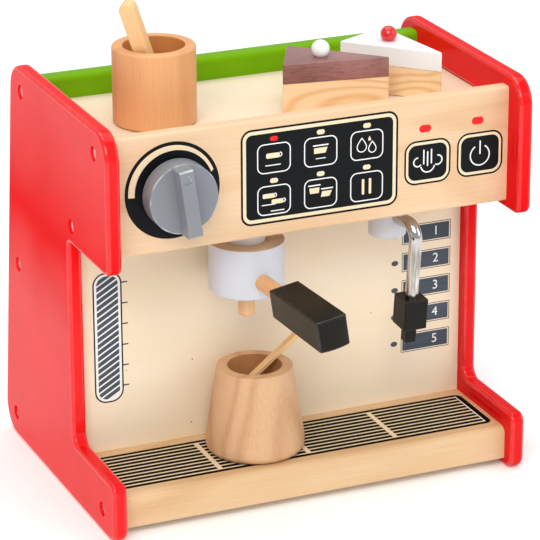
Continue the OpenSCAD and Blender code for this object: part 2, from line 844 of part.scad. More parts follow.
// The thick stirrer stands on the floor of the shelf cup and leans on its rim at the left
thick_corner = norm([thick_width, thick_thickness]) / 2;
thick_rise = seat_gap + thick_width / 2 + thick_thickness / 2 * sin(thick_lean) * sin(thick_turn);
thick_chord = sqrt(pow(shelf_cup_bore, 2) - pow(thick_shift + thick_corner * abs(sin(45 - thick_turn)), 2));
thick_foot_x = -shelf_cup_offset + (shelf_cup_bore_depth - thick_rise) * tan(thick_lean)
    + thick_corner / cos(thick_lean) + seat_gap - thick_chord;
thick_foot_z = shelf_cup_z + shelf_cup_height - shelf_cup_bore_depth + thick_rise;

module shelf_stirrer() {
    color(pine) translate([thick_foot_x, shelf_cup_y - thick_shift, thick_foot_z])
        rotate([0, -thick_lean, 0]) rotate([0, 0, -thick_turn]) rotate([0, -90, 90])
            translate([-thick_width / 2, 0, 0]) stick(thick_length, thick_width, thick_thickness);
}

// ---- cake slices ---------------------------------------------------------------------------

slice_z = shelf_top + seat_gap;
slice_depth = slice_side * cos(slice_angle / 2);
slice_edge = 0.8;

// Each slice: distances of its tip from the right side panel and from the front edges,
// direction of its middle line
brown_inset = 61;
brown_setback = 48.5;
brown_course = 152.8;
white_inset = 29.5;
white_setback = 42.7;
white_course = 115.6;

module slice_frame(inset, setback, course) {
    translate([inner_half - inset, front_y + setback, slice_z]) rotate([0, 0, course]) children();
}

module slice_layer(height) {
    half = slice_side * sin(slice_angle / 2);
    linear_extrude(height)
        rounded([for (p = [[0, 0], [slice_depth, -half], [slice_depth, half]]) [p, slice_edge]]);
}

module slice_ball(diameter) {
    seat = diameter / 2 * (1 - ball_seat);
    translate([slice_depth * 2 / 3, 0, sponge_height + icing_height]) intersection() {
        translate([0, 0, seat]) sphere(d = diameter);
        translate([-diameter, -diameter, 0]) cube(2 * diameter);
    }
}

module brown_sponge() {
    color(pine) slice_frame(brown_inset, brown_setback, brown_course) slice_layer(sponge_height);
}

module brown_icing() {
    color([0.33, 0.19, 0.17]) slice_frame(brown_inset, brown_setback, brown_course)
        translate([0, 0, sponge_height]) slice_layer(icing_height);
}

module white_ball() {
    color("white") slice_frame(brown_inset, brown_setback, brown_course) slice_ball(white_ball_diameter);
}

module white_sponge() {
    color(pine) slice_frame(white_inset, white_setback, white_course) slice_layer(sponge_height);
}

module white_icing() {
    color("whitesmoke") slice_frame(white_inset, white_setback, white_course)
        translate([0, 0, sponge_height]) slice_layer(icing_height);
}

module red_ball() {
    color(red_paint) slice_frame(white_inset, white_setback, white_course) slice_ball(red_ball_diameter);
}

// ---- nodes ---------------------------------------------------------------------------------

left_side_panel();
right_side_panel();
front_panel();
top_shelf();
rear_panel();
head_board();
display_panel();
base_board();
side_screws();
group_plug();
plug_screw();
plug_magnet();
knob();
knob_screw();
knob_washer();
filter_cup();
filter_magnet();
spout();
handle_dowel();
handle_grip();
steam_boss();
boss_screw();
boss_washer();
steam_tube();
nozzle_block();
nozzle_tip();
tray_cup();
tray_stirrer();
shelf_cup();
shelf_stirrer();
brown_sponge();
brown_icing();
white_ball();
white_sponge();
white_icing();
red_ball();
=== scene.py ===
import math

import bmesh
import bpy
from mathutils import Matrix, Vector


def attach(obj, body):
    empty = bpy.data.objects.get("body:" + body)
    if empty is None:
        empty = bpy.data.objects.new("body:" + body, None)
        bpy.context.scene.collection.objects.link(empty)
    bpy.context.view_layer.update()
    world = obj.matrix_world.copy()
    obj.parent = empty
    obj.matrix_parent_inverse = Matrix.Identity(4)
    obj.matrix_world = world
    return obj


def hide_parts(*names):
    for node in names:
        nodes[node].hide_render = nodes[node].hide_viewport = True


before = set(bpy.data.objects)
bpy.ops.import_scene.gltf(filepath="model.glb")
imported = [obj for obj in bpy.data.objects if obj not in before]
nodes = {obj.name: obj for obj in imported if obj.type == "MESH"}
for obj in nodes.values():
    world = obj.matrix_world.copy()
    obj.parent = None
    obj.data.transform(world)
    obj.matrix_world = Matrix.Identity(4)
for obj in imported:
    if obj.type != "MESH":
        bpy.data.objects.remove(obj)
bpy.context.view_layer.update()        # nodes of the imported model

mm = 0.001


def clearSelection():
    if bpy.context.object and bpy.context.object.mode != "OBJECT":
        bpy.ops.object.mode_set(mode="OBJECT")
    bpy.ops.object.select_all(action="DESELECT")


def makeActive(piece):
    clearSelection()
    piece.select_set(True)
    bpy.context.view_layer.objects.active = piece


def startEdit(piece, kind="EDGE"):
    makeActive(piece)
    bpy.ops.object.mode_set(mode="EDIT")
    bpy.ops.mesh.select_mode(type=kind)


def endEdit():
    bpy.ops.object.mode_set(mode="OBJECT")


def applyPlace():
    bpy.ops.object.transform_apply(location=True, rotation=True, scale=True)


def selectAll():
    bpy.ops.mesh.select_all(action="SELECT")


def selectWhere(piece, kind, test):      # in edit mode: only the verts, edges or faces that pass the test
    bpy.ops.mesh.select_all(action="DESELECT")
    mesh = bmesh.from_edit_mesh(piece.data)
    for element in getattr(mesh, kind):
        if test(element):
            element.select_set(True)
    bmesh.update_edit_mesh(piece.data)


def colour(code):        # "#rrggbb" as the eye sees it, to the linear values of a shader
    parts = [int(code[i:i + 2], 16) / 255 for i in (1, 3, 5)]
    return [c / 12.92 if c <= 0.04045 else ((c + 0.055) / 1.055) ** 2.4 for c in parts] + [1.0]


def link(source, target):
    target.id_data.links.new(source, target)


def addNode(tree, kind, **settings):     # nodes stand in rows, in the order in which they are made
    node = tree.nodes.new(kind)
    node.location = (len(tree.nodes) % 8 * 220, len(tree.nodes) // 8 * -260)
    for key, value in settings.items():
        setattr(node, key, value)
    return node


def startGroup(name, inputs, outputs):
    tree = bpy.data.node_groups.new(name, "ShaderNodeTree")
    for label, kind, value in inputs:
        socket = tree.interface.new_socket(name=label, in_out="INPUT", socket_type="NodeSocket" + kind)
        socket.default_value = value
    for label, kind in outputs:
        tree.interface.new_socket(name=label, in_out="OUTPUT", socket_type="NodeSocket" + kind)
    return tree, addNode(tree, "NodeGroupInput"), addNode(tree, "NodeGroupOutput")


def mathNode(tree, operation, first, second=None, third=None, clamp=False):
    node = addNode(tree, "ShaderNodeMath", operation=operation, use_clamp=clamp)
    for i, value in enumerate((first, second, third)):
        if value is None:
            continue
        if isinstance(value, (int, float)):
            node.inputs[i].default_value = value
        else:
            link(value, node.inputs[i])
    return node.outputs[0]


def noiseNode(tree, vector, stretch, detail=2.0, roughness=0.5, distortion=0.0):
    scaled = addNode(tree, "ShaderNodeVectorMath", operation="MULTIPLY")
    link(vector, scaled.inputs[0])
    scaled.inputs[1].default_value = stretch
    noise = addNode(tree, "ShaderNodeTexNoise")
    for label, value in (("Scale", 1.0), ("Detail", detail), ("Roughness", roughness), ("Distortion", distortion)):
        noise.inputs[label].default_value = value
    link(scaled.outputs[0], noise.inputs["Vector"])
    return noise.outputs["Fac"]


def spread(tree, value, low, high):       # stretches low..high to 0..1
    node = addNode(tree, "ShaderNodeMapRange", clamp=True)
    link(value, node.inputs["Value"])
    node.inputs["From Min"].default_value = low
    node.inputs["From Max"].default_value = high
    return node.outputs["Result"]


def mixColours(tree, mask, first, second):
    node = addNode(tree, "ShaderNodeMix", data_type="RGBA")
    for socket, value in ((node.inputs[0], mask), (node.inputs[6], first), (node.inputs[7], second)):
        if isinstance(value, bpy.types.NodeSocket):
            link(value, socket)
        else:
            socket.default_value = value
    return node.outputs[2]


# noise layers: change per metre along and across the grain, detail, roughness, and the values that become 0 and 1
layers = {
    "fibres": ((22, 1400, 1400), 3.0, 0.6, 0.33, 0.7),
    "pores": ((140, 2600, 2600), 1.0, 0.5, 0.66, 0.74),
    "clouds": ((7, 24, 24), 2.0, 0.5, 0.3, 0.72),
    "paintClouds": ((18, 18, 18), 3.0, 0.55, 0.35, 0.7),
    "rimBreakup": ((150, 150, 150), 4.0, 0.6, 0.42, 0.68),
    "smudges": ((90, 90, 90), 3.0, 0.6, 0.35, 0.7),
    "drawnLines": ((5, 420, 420), 2.0, 0.5, 0.42, 0.6),
    "scratches": ((420, 420, 420), 3.0, 0.6, 0.4, 0.62),
}


def noiseLayer(tree, vector, name):
    stretch, detail, roughness, low, high = layers[name]
    return spread(tree, noiseNode(tree, vector, stretch, detail, roughness), low, high)


grainShape = {"rings": ((3.2, 15, 15), 1.5, 0.4, 0.3), "fullTurn": 6.283, "sharpness": 2.2, "knotDensity": 48,
              "knotOuter": 0.034, "knotInner": 0.014, "knotTone": "#7c5f45", "poreDepth": -0.8, "fibreDepth": -0.4}


def buildWoodGrain():    # grain runs along X of the vector, which is in metres
    shape = grainShape
    tree, start, end = startGroup("woodGrain", [
        ("Vector", "Vector", (0, 0, 0)), ("Light", "Color", (0.8, 0.6, 0.4, 1)), ("Dark", "Color", (0.5, 0.3, 0.2, 1)),
        ("Rings", "Float", 0.3), ("Ring count", "Float", 14.0), ("Fibres", "Float", 0.3), ("Pores", "Float", 0.3),
        ("Clouds", "Float", 0.3), ("Specks", "Float", 0.0),
    ], [("Color", "Color"), ("Height", "Float"), ("Mask", "Float")])
    vector = start.outputs["Vector"]
    turns = mathNode(tree, "MULTIPLY", noiseNode(tree, vector, *shape["rings"]), start.outputs["Ring count"])
    wave = mathNode(tree, "SINE", mathNode(tree, "MULTIPLY", turns, shape["fullTurn"]))
    rings = mathNode(tree, "POWER", mathNode(tree, "MULTIPLY_ADD", wave, 0.5, 0.5), shape["sharpness"])
    fibres = noiseLayer(tree, vector, "fibres")
    pores = noiseLayer(tree, vector, "pores")
    clouds = noiseLayer(tree, vector, "clouds")
    total = mathNode(tree, "MULTIPLY", rings, start.outputs["Rings"])
    total = mathNode(tree, "MULTIPLY_ADD", fibres, start.outputs["Fibres"], total)
    total = mathNode(tree, "MULTIPLY_ADD", pores, start.outputs["Pores"], total)
    total = mathNode(tree, "MULTIPLY_ADD", clouds, start.outputs["Clouds"], total, clamp=True)
    knots = addNode(tree, "ShaderNodeTexVoronoi")        # a few pin knots
    knots.inputs["Scale"].default_value = shape["knotDensity"]
    link(vector, knots.inputs["Vector"])
    pins = spread(tree, knots.outputs["Distance"], shape["knotOuter"], shape["knotInner"])
    pins = mathNode(tree, "MULTIPLY", pins, start.outputs["Specks"])
    grained = mixColours(tree, total, start.outputs["Light"], start.outputs["Dark"])
    link(mixColours(tree, pins, grained, colour(shape["knotTone"])), end.inputs["Color"])
    relief = mathNode(tree, "MULTIPLY", fibres, shape["fibreDepth"])
    link(mathNode(tree, "MULTIPLY_ADD", pores, shape["poreDepth"], relief), end.inputs["Height"])
    link(total, end.inputs["Mask"])
    return tree


coatShape = {"grain": (40, 900, 900), "streakLow": 0.48, "streakHigh": 0.66, "smear": ((60, 60, 60), 3.0, 0.6),
             "smearDepth": 0.16, "peel": (260, 260, 260)}


def buildPaintCoat():    # lacquer over wood: slow shade changes, soft waves and the grain telling through
    shape = coatShape
    tree, start, end = startGroup("paintCoat", [
        ("Vector", "Vector", (0, 0, 0)), ("Base", "Color", (0.8, 0.1, 0.1, 1)),
        ("Shade", "Color", (0.6, 0.05, 0.05, 1)), ("Roughness", "Float", 0.2), ("Peel", "Float", 0.5),
        ("Grain", "Float", 0.3), ("Streaks", "Float", 0.0),
    ], [("Color", "Color"), ("Roughness", "Float"), ("Height", "Float")])
    vector = start.outputs["Vector"]
    clouds = noiseLayer(tree, vector, "paintClouds")
    grain = noiseNode(tree, vector, shape["grain"])
    streaks = spread(tree, grain, shape["streakLow"], shape["streakHigh"])
    streaks = mathNode(tree, "MULTIPLY", streaks, start.outputs["Streaks"])
    total = mathNode(tree, "ADD", clouds, streaks, clamp=True)
    link(mixColours(tree, total, start.outputs["Base"], start.outputs["Shade"]), end.inputs["Color"])
    smear = mathNode(tree, "SUBTRACT", noiseNode(tree, vector, *shape["smear"]), 0.5)
    rough = mathNode(tree, "MULTIPLY_ADD", smear, shape["smearDepth"], start.outputs["Roughness"], clamp=True)
    link(rough, end.inputs["Roughness"])
    peel = noiseNode(tree, vector, shape["peel"])
    waves = mathNode(tree, "MULTIPLY", peel, start.outputs["Peel"])
    height = mathNode(tree, "MULTIPLY_ADD", grain, start.outputs["Grain"], waves)
    link(height, end.inputs["Height"])
    return tree


def buildEdgeWearAndHighlight():     # breaks the rim mask up; the mask brings both edge wear and painted highlight onto an edge
    tree, start, end = startGroup("edgeWearAndHighlight", [
        ("Vector", "Vector", (0, 0, 0)), ("Rim", "Float", 0.0), ("Amount", "Float", 0.5)], [("Mask", "Float")])
    rimBreakup = noiseLayer(tree, start.outputs["Vector"], "rimBreakup")
    rimBreakup = mathNode(tree, "MULTIPLY", rimBreakup, start.outputs["Rim"])
    mask = mathNode(tree, "MULTIPLY", rimBreakup, start.outputs["Amount"], clamp=True)
    link(mask, end.inputs["Mask"])
    return tree


woodGrain = buildWoodGrain()
paintCoat = buildPaintCoat()
edgeWearAndHighlight = buildEdgeWearAndHighlight()
finishes = {}


def startMaterial(name):
    finishes[name] = bpy.data.materials.new(name)
    finishes[name].use_nodes = True
    tree = finishes[name].node_tree
    return tree, tree.nodes["Principled BSDF"]


def objectPlace(tree):
    return addNode(tree, "ShaderNodeTexCoord").outputs["Object"]


def objectHeight(tree):      # Z of the Object coordinates, in metres
    split = addNode(tree, "ShaderNodeSeparateXYZ")
    link(objectPlace(tree), split.inputs[0])
    return split.outputs["Z"]


def grainVector(tree, along, shift=(0, 0, 0), tilt=0.0):     # turns Object coordinates so that the grain runs along X
    quarter = math.pi / 2 + tilt
    turn = addNode(tree, "ShaderNodeMapping")
    turn.inputs["Rotation"].default_value = {"x": (0, 0, tilt), "y": (0, 0, quarter), "z": (0, quarter, 0)}[along]
    turn.inputs["Location"].default_value = shift
    link(objectPlace(tree), turn.inputs["Vector"])
    return turn.outputs["Vector"]


def useGroup(tree, group, vector, **values):
    node = addNode(tree, "ShaderNodeGroup", node_tree=group)
    link(vector, node.inputs["Vector"])
    for key, value in values.items():
        socket = node.inputs[key.replace("_", " ")]
        if isinstance(value, bpy.types.NodeSocket):
            link(value, socket)
        else:
            socket.default_value = value
    return node


def addBump(tree, shader, height, strength, distance):
    bump = addNode(tree, "ShaderNodeBump")
    bump.inputs["Strength"].default_value = strength
    bump.inputs["Distance"].default_value = distance
    link(height, bump.inputs["Height"])
    link(bump.outputs["Normal"], shader.inputs["Normal"])


# rim tone: edge wear on the wood, painted highlight on the red paints and on the grey knob
def rimWearAndHighlight(tree, vector, amount):
    rim = addNode(tree, "ShaderNodeAttribute", attribute_name="rim")
    return useGroup(tree, edgeWearAndHighlight, vector, Rim=rim.outputs["Fac"], Amount=amount).outputs["Mask"]


boreFade = {"outer": 0.9, "inner": 0.1}      # how far outside the wall the mask fades out, in mm


def boreMask(tree, bore):        # 1 inside a bore of this axis and radius, in mm
    x, y, radius = bore
    centred = addNode(tree, "ShaderNodeVectorMath", operation="SUBTRACT")
    link(objectPlace(tree), centred.inputs[0])
    centred.inputs[1].default_value = (x * mm, y * mm, 0)
    flat = addNode(tree, "ShaderNodeVectorMath", operation="MULTIPLY")
    link(centred.outputs[0], flat.inputs[0])
    flat.inputs[1].default_value = (1, 1, 0)
    length = addNode(tree, "ShaderNodeVectorMath", operation="LENGTH")
    link(flat.outputs[0], length.inputs[0])
    return spread(tree, length.outputs["Value"], (radius + boreFade["outer"]) * mm, (radius + boreFade["inner"]) * mm)


woodSurface = {"rimShare": 0.35, "boreShadeShare": 0.75, "darkRoughness": 0.18, "bump": 0.25, "bumpHeight": 0.0002}


def makeWood(name, light, dark, along="x", rings=0.3, ringCount=12.0, fibres=0.3, pores=0.25, clouds=0.25,
             roughness=0.5, shift=(0, 0, 0), tilt=0.0, specks=0.0, bore=None, boreShadeTone=None):
    tree, shader = startMaterial(name)
    vector = grainVector(tree, along, shift, tilt)
    grain = useGroup(tree, woodGrain, vector, Light=colour(light), Dark=colour(dark), Rings=rings,
                     Ring_count=ringCount, Fibres=fibres, Pores=pores, Clouds=clouds, Specks=specks)
    rim = rimWearAndHighlight(tree, vector, woodSurface["rimShare"])
    surfaceColour = mixColours(tree, rim, grain.outputs["Color"], colour(dark))
    if bore:             # painted shade: the inside of the bore is darkened, where shade falls
        share = mathNode(tree, "MULTIPLY", boreMask(tree, bore), woodSurface["boreShadeShare"])
        surfaceColour = mixColours(tree, share, surfaceColour, colour(boreShadeTone))
    link(surfaceColour, shader.inputs["Base Color"])
    rough = mathNode(tree, "MULTIPLY_ADD", grain.outputs["Mask"], woodSurface["darkRoughness"], roughness, clamp=True)
    link(rough, shader.inputs["Roughness"])
    addBump(tree, shader, grain.outputs["Height"], woodSurface["bump"], woodSurface["bumpHeight"])


# heights in metres between which the polish of the side panels comes and goes, and how it waves
polishBand = {"top": 0.24, "topFade": 0.165, "lowFade": 0.155, "low": 0.105, "stretch": (14, 14, 14), "waves": 0.05}


def polishMask(tree, share):     # the lacquer is rubbed up more towards the head and the foot than half way up
    band = polishBand
    rub = mathNode(tree, "SUBTRACT", noiseNode(tree, objectPlace(tree), band["stretch"]), 0.5)
    level = mathNode(tree, "MULTIPLY_ADD", rub, band["waves"], objectHeight(tree))
    upper = spread(tree, level, band["topFade"], band["top"])
    lower = spread(tree, level, band["lowFade"], band["low"])
    both = mathNode(tree, "ADD", upper, lower, clamp=True)
    return mathNode(tree, "MULTIPLY", both, share)


paintBumpHeight = 0.0003         # in metres


def makePaint(name, base, shade, wearAndHighlight, along="x", roughness=0.2, coat=0.0, rimCoat=0.0, coatRoughness=0.08, peel=0.4,
              grain=0.25, bump=0.1, rimShare=0.3, specular=0.3, streaks=0.0, polish=0.0):
    tree, shader = startMaterial(name)
    vector = grainVector(tree, along)
    paint = useGroup(tree, paintCoat, vector, Base=colour(base), Shade=colour(shade), Roughness=roughness,
                     Peel=peel, Grain=grain, Streaks=streaks)
    # the rim tone is edge wear, and on the red paints and the grey plastic a painted highlight
    surfaceColour = mixColours(tree, rimWearAndHighlight(tree, vector, rimShare), paint.outputs["Color"], colour(wearAndHighlight))
    link(surfaceColour, shader.inputs["Base Color"])
    link(paint.outputs["Roughness"], shader.inputs["Roughness"])
    shader.inputs["Coat Weight"].default_value = coat
    if rimCoat:          # lacquer stands thicker along an edge
        rim = addNode(tree, "ShaderNodeAttribute", attribute_name="rim")
        gloss = polishMask(tree, polish) if polish else coat
        weight = mathNode(tree, "MULTIPLY_ADD", rim.outputs["Fac"], rimCoat, gloss, clamp=True)
        link(weight, shader.inputs["Coat Weight"])
    shader.inputs["Coat Roughness"].default_value = coatRoughness
    shader.inputs["Specular IOR Level"].default_value = specular
    addBump(tree, shader, paint.outputs["Height"], bump, paintBumpHeight)


# values that several finishes share
redCoat = {"along": "z", "roughness": 0.24, "specular": 0.003, "coatRoughness": 0.05, "peel": 0.2, "bump": 0.03}
ink = {"roughness": 0.5, "grain": 0.5, "bump": 0.08}
plainPly = {"rings": 0.12, "ringCount": 4.0, "fibres": 0.16, "pores": 0.1, "clouds": 0.3, "roughness": 0.5,
            "specks": 1.0}
dowelGrain = {"rings": 0.15, "fibres": 0.35, "pores": 0.3, "roughness": 0.5}
shelfCupBore = (-74.5, 14.85, 18.2)      # x and y of the axis, and the radius
trayCupBore = (-26.5, -20.145, 16.4)

# painted highlight: the paler rim tone of both red paints stands for the glint on the panels' rounded edges
makePaint("redPaint", "#ea191c", "#e11518", "#f2423e", rimCoat=0.9, polish=0.42, **redCoat)
# painted shade: a darker copy of the red paint, for the right side panel
makePaint("redPaintedShade", "#df1619", "#d51316", "#ec3d39", rimCoat=0.7, polish=0.3, **redCoat)
makePaint("greenPaint", "#6ca40a", "#699f0a", "#8fc84a", roughness=0.34, specular=0.06)
makePaint("whitePaint", "#eaecef", "#e4e6e9", "#f6f7f8", roughness=0.34)
makePaint("redGloss", "#d8131d", "#cd101a", "#e8434a", roughness=0.24, coat=0.8, coatRoughness=0.05, peel=0.2,
          bump=0.03)
makePaint("brownPaint", "#9b6863", "#744b47", "#a97d76", roughness=0.36, coat=0.5, grain=0.9, bump=0.35,
          coatRoughness=0.25, streaks=0.55)
makePaint("greyLacquer", "#d2d5dc", "#cbced6", "#e2e4ea", roughness=0.3)
makePaint("blackLacquer", "#15120d", "#0c0a08", "#2b2825", roughness=0.3, coat=0.06, rimCoat=0.5, grain=1.0,
          coatRoughness=0.16, bump=0.3, specular=0.14, streaks=0.6)
# painted highlight: the pale rim tone of the grey plastic stands for the light along the knob's rounded edges
makePaint("greyPlastic", "#7f848b", "#797e86", "#c3c8ce", roughness=0.34, peel=0.6, grain=0.0, rimShare=1.0,
          specular=0.45)
makePaint("mouldLine", "#a3a7ad", "#999da3", "#b3b7bc", roughness=0.4, peel=0.6, grain=0.0)
makeWood("pineLacquer", "#e4c7a5", "#cfa67a", ringCount=7.0, pores=0.12, clouds=0.35, roughness=0.42)
makeWood("pineBoard", "#dec098", "#c79b69", rings=0.34, ringCount=8.0, pores=0.14, clouds=0.35, roughness=0.42,
         shift=(0.4, 0.21, 0.13))
makeWood("birchPly", "#f2e4cc", "#e4cfac", shift=(0.1, 0.5, 0.3), **plainPly)
makeWood("shelfPly", "#eadbc3", "#dcc6a2", shift=(0.3, 0.2, 0.6), **plainPly)
# painted shade: both cups are darker inside their bores
makeWood("beechCup", "#e3aa76", "#c98c59", along="z", ringCount=6.0, fibres=0.28, pores=0.4, clouds=0.45,
         roughness=0.46, shift=(0.3, 0.1, 0.2), bore=shelfCupBore, boreShadeTone="#c47a34")
makeWood("mapleCup", "#d8b088", "#b98a62", along="z", rings=0.44, fibres=0.26, pores=0.4, clouds=0.35,
         roughness=0.46, shift=(0.7, 0.32, 0.2), bore=trayCupBore, boreShadeTone="#a96f3a")
makeWood("dowelWood", "#e3b582", "#cc9560", along="y", **dowelGrain)
makeWood("spoutWood", "#e8bf8f", "#d19d68", along="z", **dowelGrain)
makeWood("stickWood", "#edc592", "#d9a567", along="z", rings=0.2, ringCount=5.0, fibres=0.35, pores=0.2,
         roughness=0.48, shift=(0.2, 0.4, 0.9))
makeWood("slicePine", "#f3d6ae", "#d39a5c", rings=0.45, ringCount=26.0, fibres=0.2, pores=0.08, clouds=0.15,
         tilt=0.16, roughness=0.46, shift=(0.9, 0.7, 0.4))
makePaint("inkBlack", "#101317", "#0c0f12", "#2a2e33", specular=0.12, streaks=0.5, **ink)
makePaint("inkTray", "#0e0b07", "#090704", "#2a2622", specular=0.03, **{**ink, "roughness": 0.6})
makePaint("inkPale", "#eef0f0", "#e6e8e8", "#ffffff", specular=0.2, **ink)
makePaint("inkCream", "#e8d7b8", "#e1cfad", "#f2e9d4", specular=0.2, **ink)
makePaint("inkSlate", "#4c5663", "#404a55", "#5c6672", specular=0.2, streaks=0.6, **ink)
makePaint("inkRed", "#e31d22", "#d9191d", "#ef5558", specular=0.25, **{**ink, "roughness": 0.45})
makeWood("barePanel", "#f0dcbc", "#dfc39a", rings=0.2, ringCount=7.0, fibres=0.25, pores=0.1, clouds=0.3,
         roughness=0.45)

metalLook = {"brushing": ((30, 1500, 1500), 3.0, 0.6), "paintedReflectionShare": 0.4, "fade": 0.004, "smudgeTone": "#9c9890",
             "smudgeShare": 0.25, "smudgeRoughness": 0.04, "bump": 0.03, "bumpHeight": 0.0001}


def makeMetal(name, tint, streakAndReflectionTone, roughness, streaks, plainFrom=1.0):        # no streaks above plainFrom, in metres; there a fixed share of the darker tone is a painted reflection of the wooden panel
    look = metalLook
    tree, shader = startMaterial(name)
    vector = grainVector(tree, "z")
    brushed = noiseNode(tree, vector, *look["brushing"])
    smudge = noiseLayer(tree, vector, "smudges")
    drawn = noiseLayer(tree, vector, "drawnLines")
    straight = spread(tree, objectHeight(tree), plainFrom + look["fade"], plainFrom - look["fade"])
    # painted reflection: above plainFrom the tone stays at a fixed share of the darker colour
    drawn = mathNode(tree, "SUBTRACT", drawn, look["paintedReflectionShare"])
    drawn = mathNode(tree, "MULTIPLY_ADD", drawn, straight, look["paintedReflectionShare"])
    toned = mixColours(tree, drawn, colour(tint), colour(streakAndReflectionTone))
    smudged = mathNode(tree, "MULTIPLY", smudge, look["smudgeShare"])
    link(mixColours(tree, smudged, toned, colour(look["smudgeTone"])), shader.inputs["Base Color"])
    lines = mathNode(tree, "MULTIPLY", brushed, straight)
    rough = mathNode(tree, "ADD", mathNode(tree, "MULTIPLY", lines, streaks), roughness, clamp=True)
    rough = mathNode(tree, "MULTIPLY_ADD", smudge, look["smudgeRoughness"], rough, clamp=True)
    link(rough, shader.inputs["Roughness"])
    shader.inputs["Metallic"].default_value = 1.0
    addBump(tree, shader, brushed, look["bump"], look["bumpHeight"])


screwLook = {"paintedBelow": 0.03, "cover": 1.15, "bright": "#ffffff", "dull": "#c6c7ca", "paint": "#c2201f",
             "metallic": 0.5, "roughness": 0.2}


def makeScrewSteel():    # the lowest heads took the red of the side panels with them
    look = screwLook
    tree, shader = startMaterial("screwSteel")
    vector = grainVector(tree, "x")
    painted = mathNode(tree, "LESS_THAN", objectHeight(tree), look["paintedBelow"])
    wearAndHighlight = noiseLayer(tree, vector, "scratches")
    unworn = mathNode(tree, "SUBTRACT", look["cover"], wearAndHighlight)
    paintMask = mathNode(tree, "MULTIPLY", painted, unworn, clamp=True)
    steel = mixColours(tree, wearAndHighlight, colour(look["bright"]), colour(look["dull"]))
    toned = mixColours(tree, paintMask, steel, colour(look["paint"]))
    link(toned, shader.inputs["Base Color"])
    metallic = mathNode(tree, "MULTIPLY_ADD", paintMask, -look["metallic"], look["metallic"])
    link(metallic, shader.inputs["Metallic"])
    rough = mathNode(tree, "MULTIPLY_ADD", wearAndHighlight, look["roughness"], look["roughness"])
    link(rough, shader.inputs["Roughness"])


# painted reflection: the bend above 150 mm keeps a fixed share of the warm darker tone
makeMetal("chromeTube", "#dedede", "#98928b", roughness=0.08, streaks=0.1, plainFrom=0.15)
makeMetal("zincSteel", "#c4c6c9", "#a5a7a9", roughness=0.3, streaks=0.2)
makeScrewSteel()

cupLook = {"base": "#c9cdd6", "shade": "#c0c5cf", "light": "#d8c2a9", "dark": "#bda68d", "roughness": 0.34,
           "peel": 0.4, "relief": 0.25, "grain": 0.3, "bareAbove": 0.1599, "edgeStretch": (500, 500, 500),
           "edgeWave": 0.0004, "bareRoughness": 0.25, "bump": 0.1}


def makeCupLacquer():    # light grey lacquer on the filter cup, whose upper face and bore are bare wood
    look = cupLook
    tree, shader = startMaterial("cupLacquer")
    vector = grainVector(tree, "z")
    paint = useGroup(tree, paintCoat, vector, Base=colour(look["base"]), Shade=colour(look["shade"]),
                     Roughness=look["roughness"], Peel=look["peel"], Grain=look["relief"])
    grain = useGroup(tree, woodGrain, vector, Light=colour(look["light"]), Dark=colour(look["dark"]),
                     Rings=look["grain"], Fibres=look["grain"], Pores=look["grain"], Clouds=look["grain"])
    edge = noiseNode(tree, vector, look["edgeStretch"])
    level = mathNode(tree, "MULTIPLY_ADD", edge, look["edgeWave"], objectHeight(tree))
    bare = mathNode(tree, "GREATER_THAN", level, look["bareAbove"])
    toned = mixColours(tree, bare, paint.outputs["Color"], grain.outputs["Color"])
    link(toned, shader.inputs["Base Color"])
    rough = mathNode(tree, "MULTIPLY_ADD", bare, look["bareRoughness"], paint.outputs["Roughness"])
    link(rough, shader.inputs["Roughness"])
    addBump(tree, shader, paint.outputs["Height"], look["bump"], paintBumpHeight)


makeCupLacquer()
print("finishes:", len(finishes))

# merging distances in metres, angles in degrees, weight of the face areas in the normals
cleanUp = {"merge": 2e-6, "flat": 0.4, "bevelMerge": 1e-6, "smooth": 32, "weight": 80}


def copyOfNode(nodeName, pieceName):     # joined up and with flat faces made whole, ready for an edge to be rounded
    piece = bpy.data.objects.new(pieceName, nodes[nodeName].data.copy())
    bpy.context.scene.collection.objects.link(piece)
    makeActive(piece)
    if piece.data.has_custom_normals:
        bpy.ops.mesh.customdata_custom_splitnormals_clear()
    startEdit(piece)
    selectAll()
    bpy.ops.mesh.remove_doubles(threshold=cleanUp["merge"])
    bpy.ops.mesh.dissolve_limited(angle_limit=math.radians(cleanUp["flat"]))
    endEdit()
    return piece


def roundEdges(piece, chosen, width, steps, clamp):      # bevels the chosen edges and marks the new faces as rim
    piece.data.materials.clear()
    for finish in ("redPaint", "whitePaint"):        # the second slot only tells the new faces from the old
        piece.data.materials.append(finishes[finish])
    startEdit(piece)
    selectWhere(piece, "edges", lambda edge: edge.is_manifold and chosen(edge))
    bpy.ops.mesh.bevel(offset=width * mm, offset_type="OFFSET", segments=steps, affect="EDGES", clamp_overlap=clamp,
                       loop_slide=False, material=1)
    selectAll()          # where the bevel ran out of room its points lie on each other
    bpy.ops.mesh.remove_doubles(threshold=cleanUp["bevelMerge"])
    endEdit()
    rim = piece.data.attributes.new("rim", "FLOAT", "FACE")
    for face in piece.data.polygons:
        if face.material_index == 1:
            rim.data[face.index].value = 1.0
        face.material_index = 0


def markHighlightFillets(piece, low, high):       # painted highlight: faces that turn a little away from the front count as rim too, so they take the pale rim tone
    rim = piece.data.attributes["rim"]
    for face in piece.data.polygons:
        if low < -face.normal.y < high:
            rim.data[face.index].value = 1.0


def sharperThan(degrees):
    limit = math.radians(degrees)
    return lambda edge: edge.calc_face_angle(0.0) > limit


def finishPiece(piece, body, finish, stands):
    makeActive(piece)
    bpy.ops.object.shade_smooth_by_angle(angle=math.radians(cleanUp["smooth"]))
    weighted = piece.modifiers.new("weighted", "WEIGHTED_NORMAL")
    weighted.keep_sharp = True
    weighted.weight = cleanUp["weight"]
    bpy.ops.object.modifier_apply(modifier=weighted.name)
    piece.data.materials.clear()
    piece.data.materials.append(finishes[finish])
    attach(piece, body)
    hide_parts(*stands)


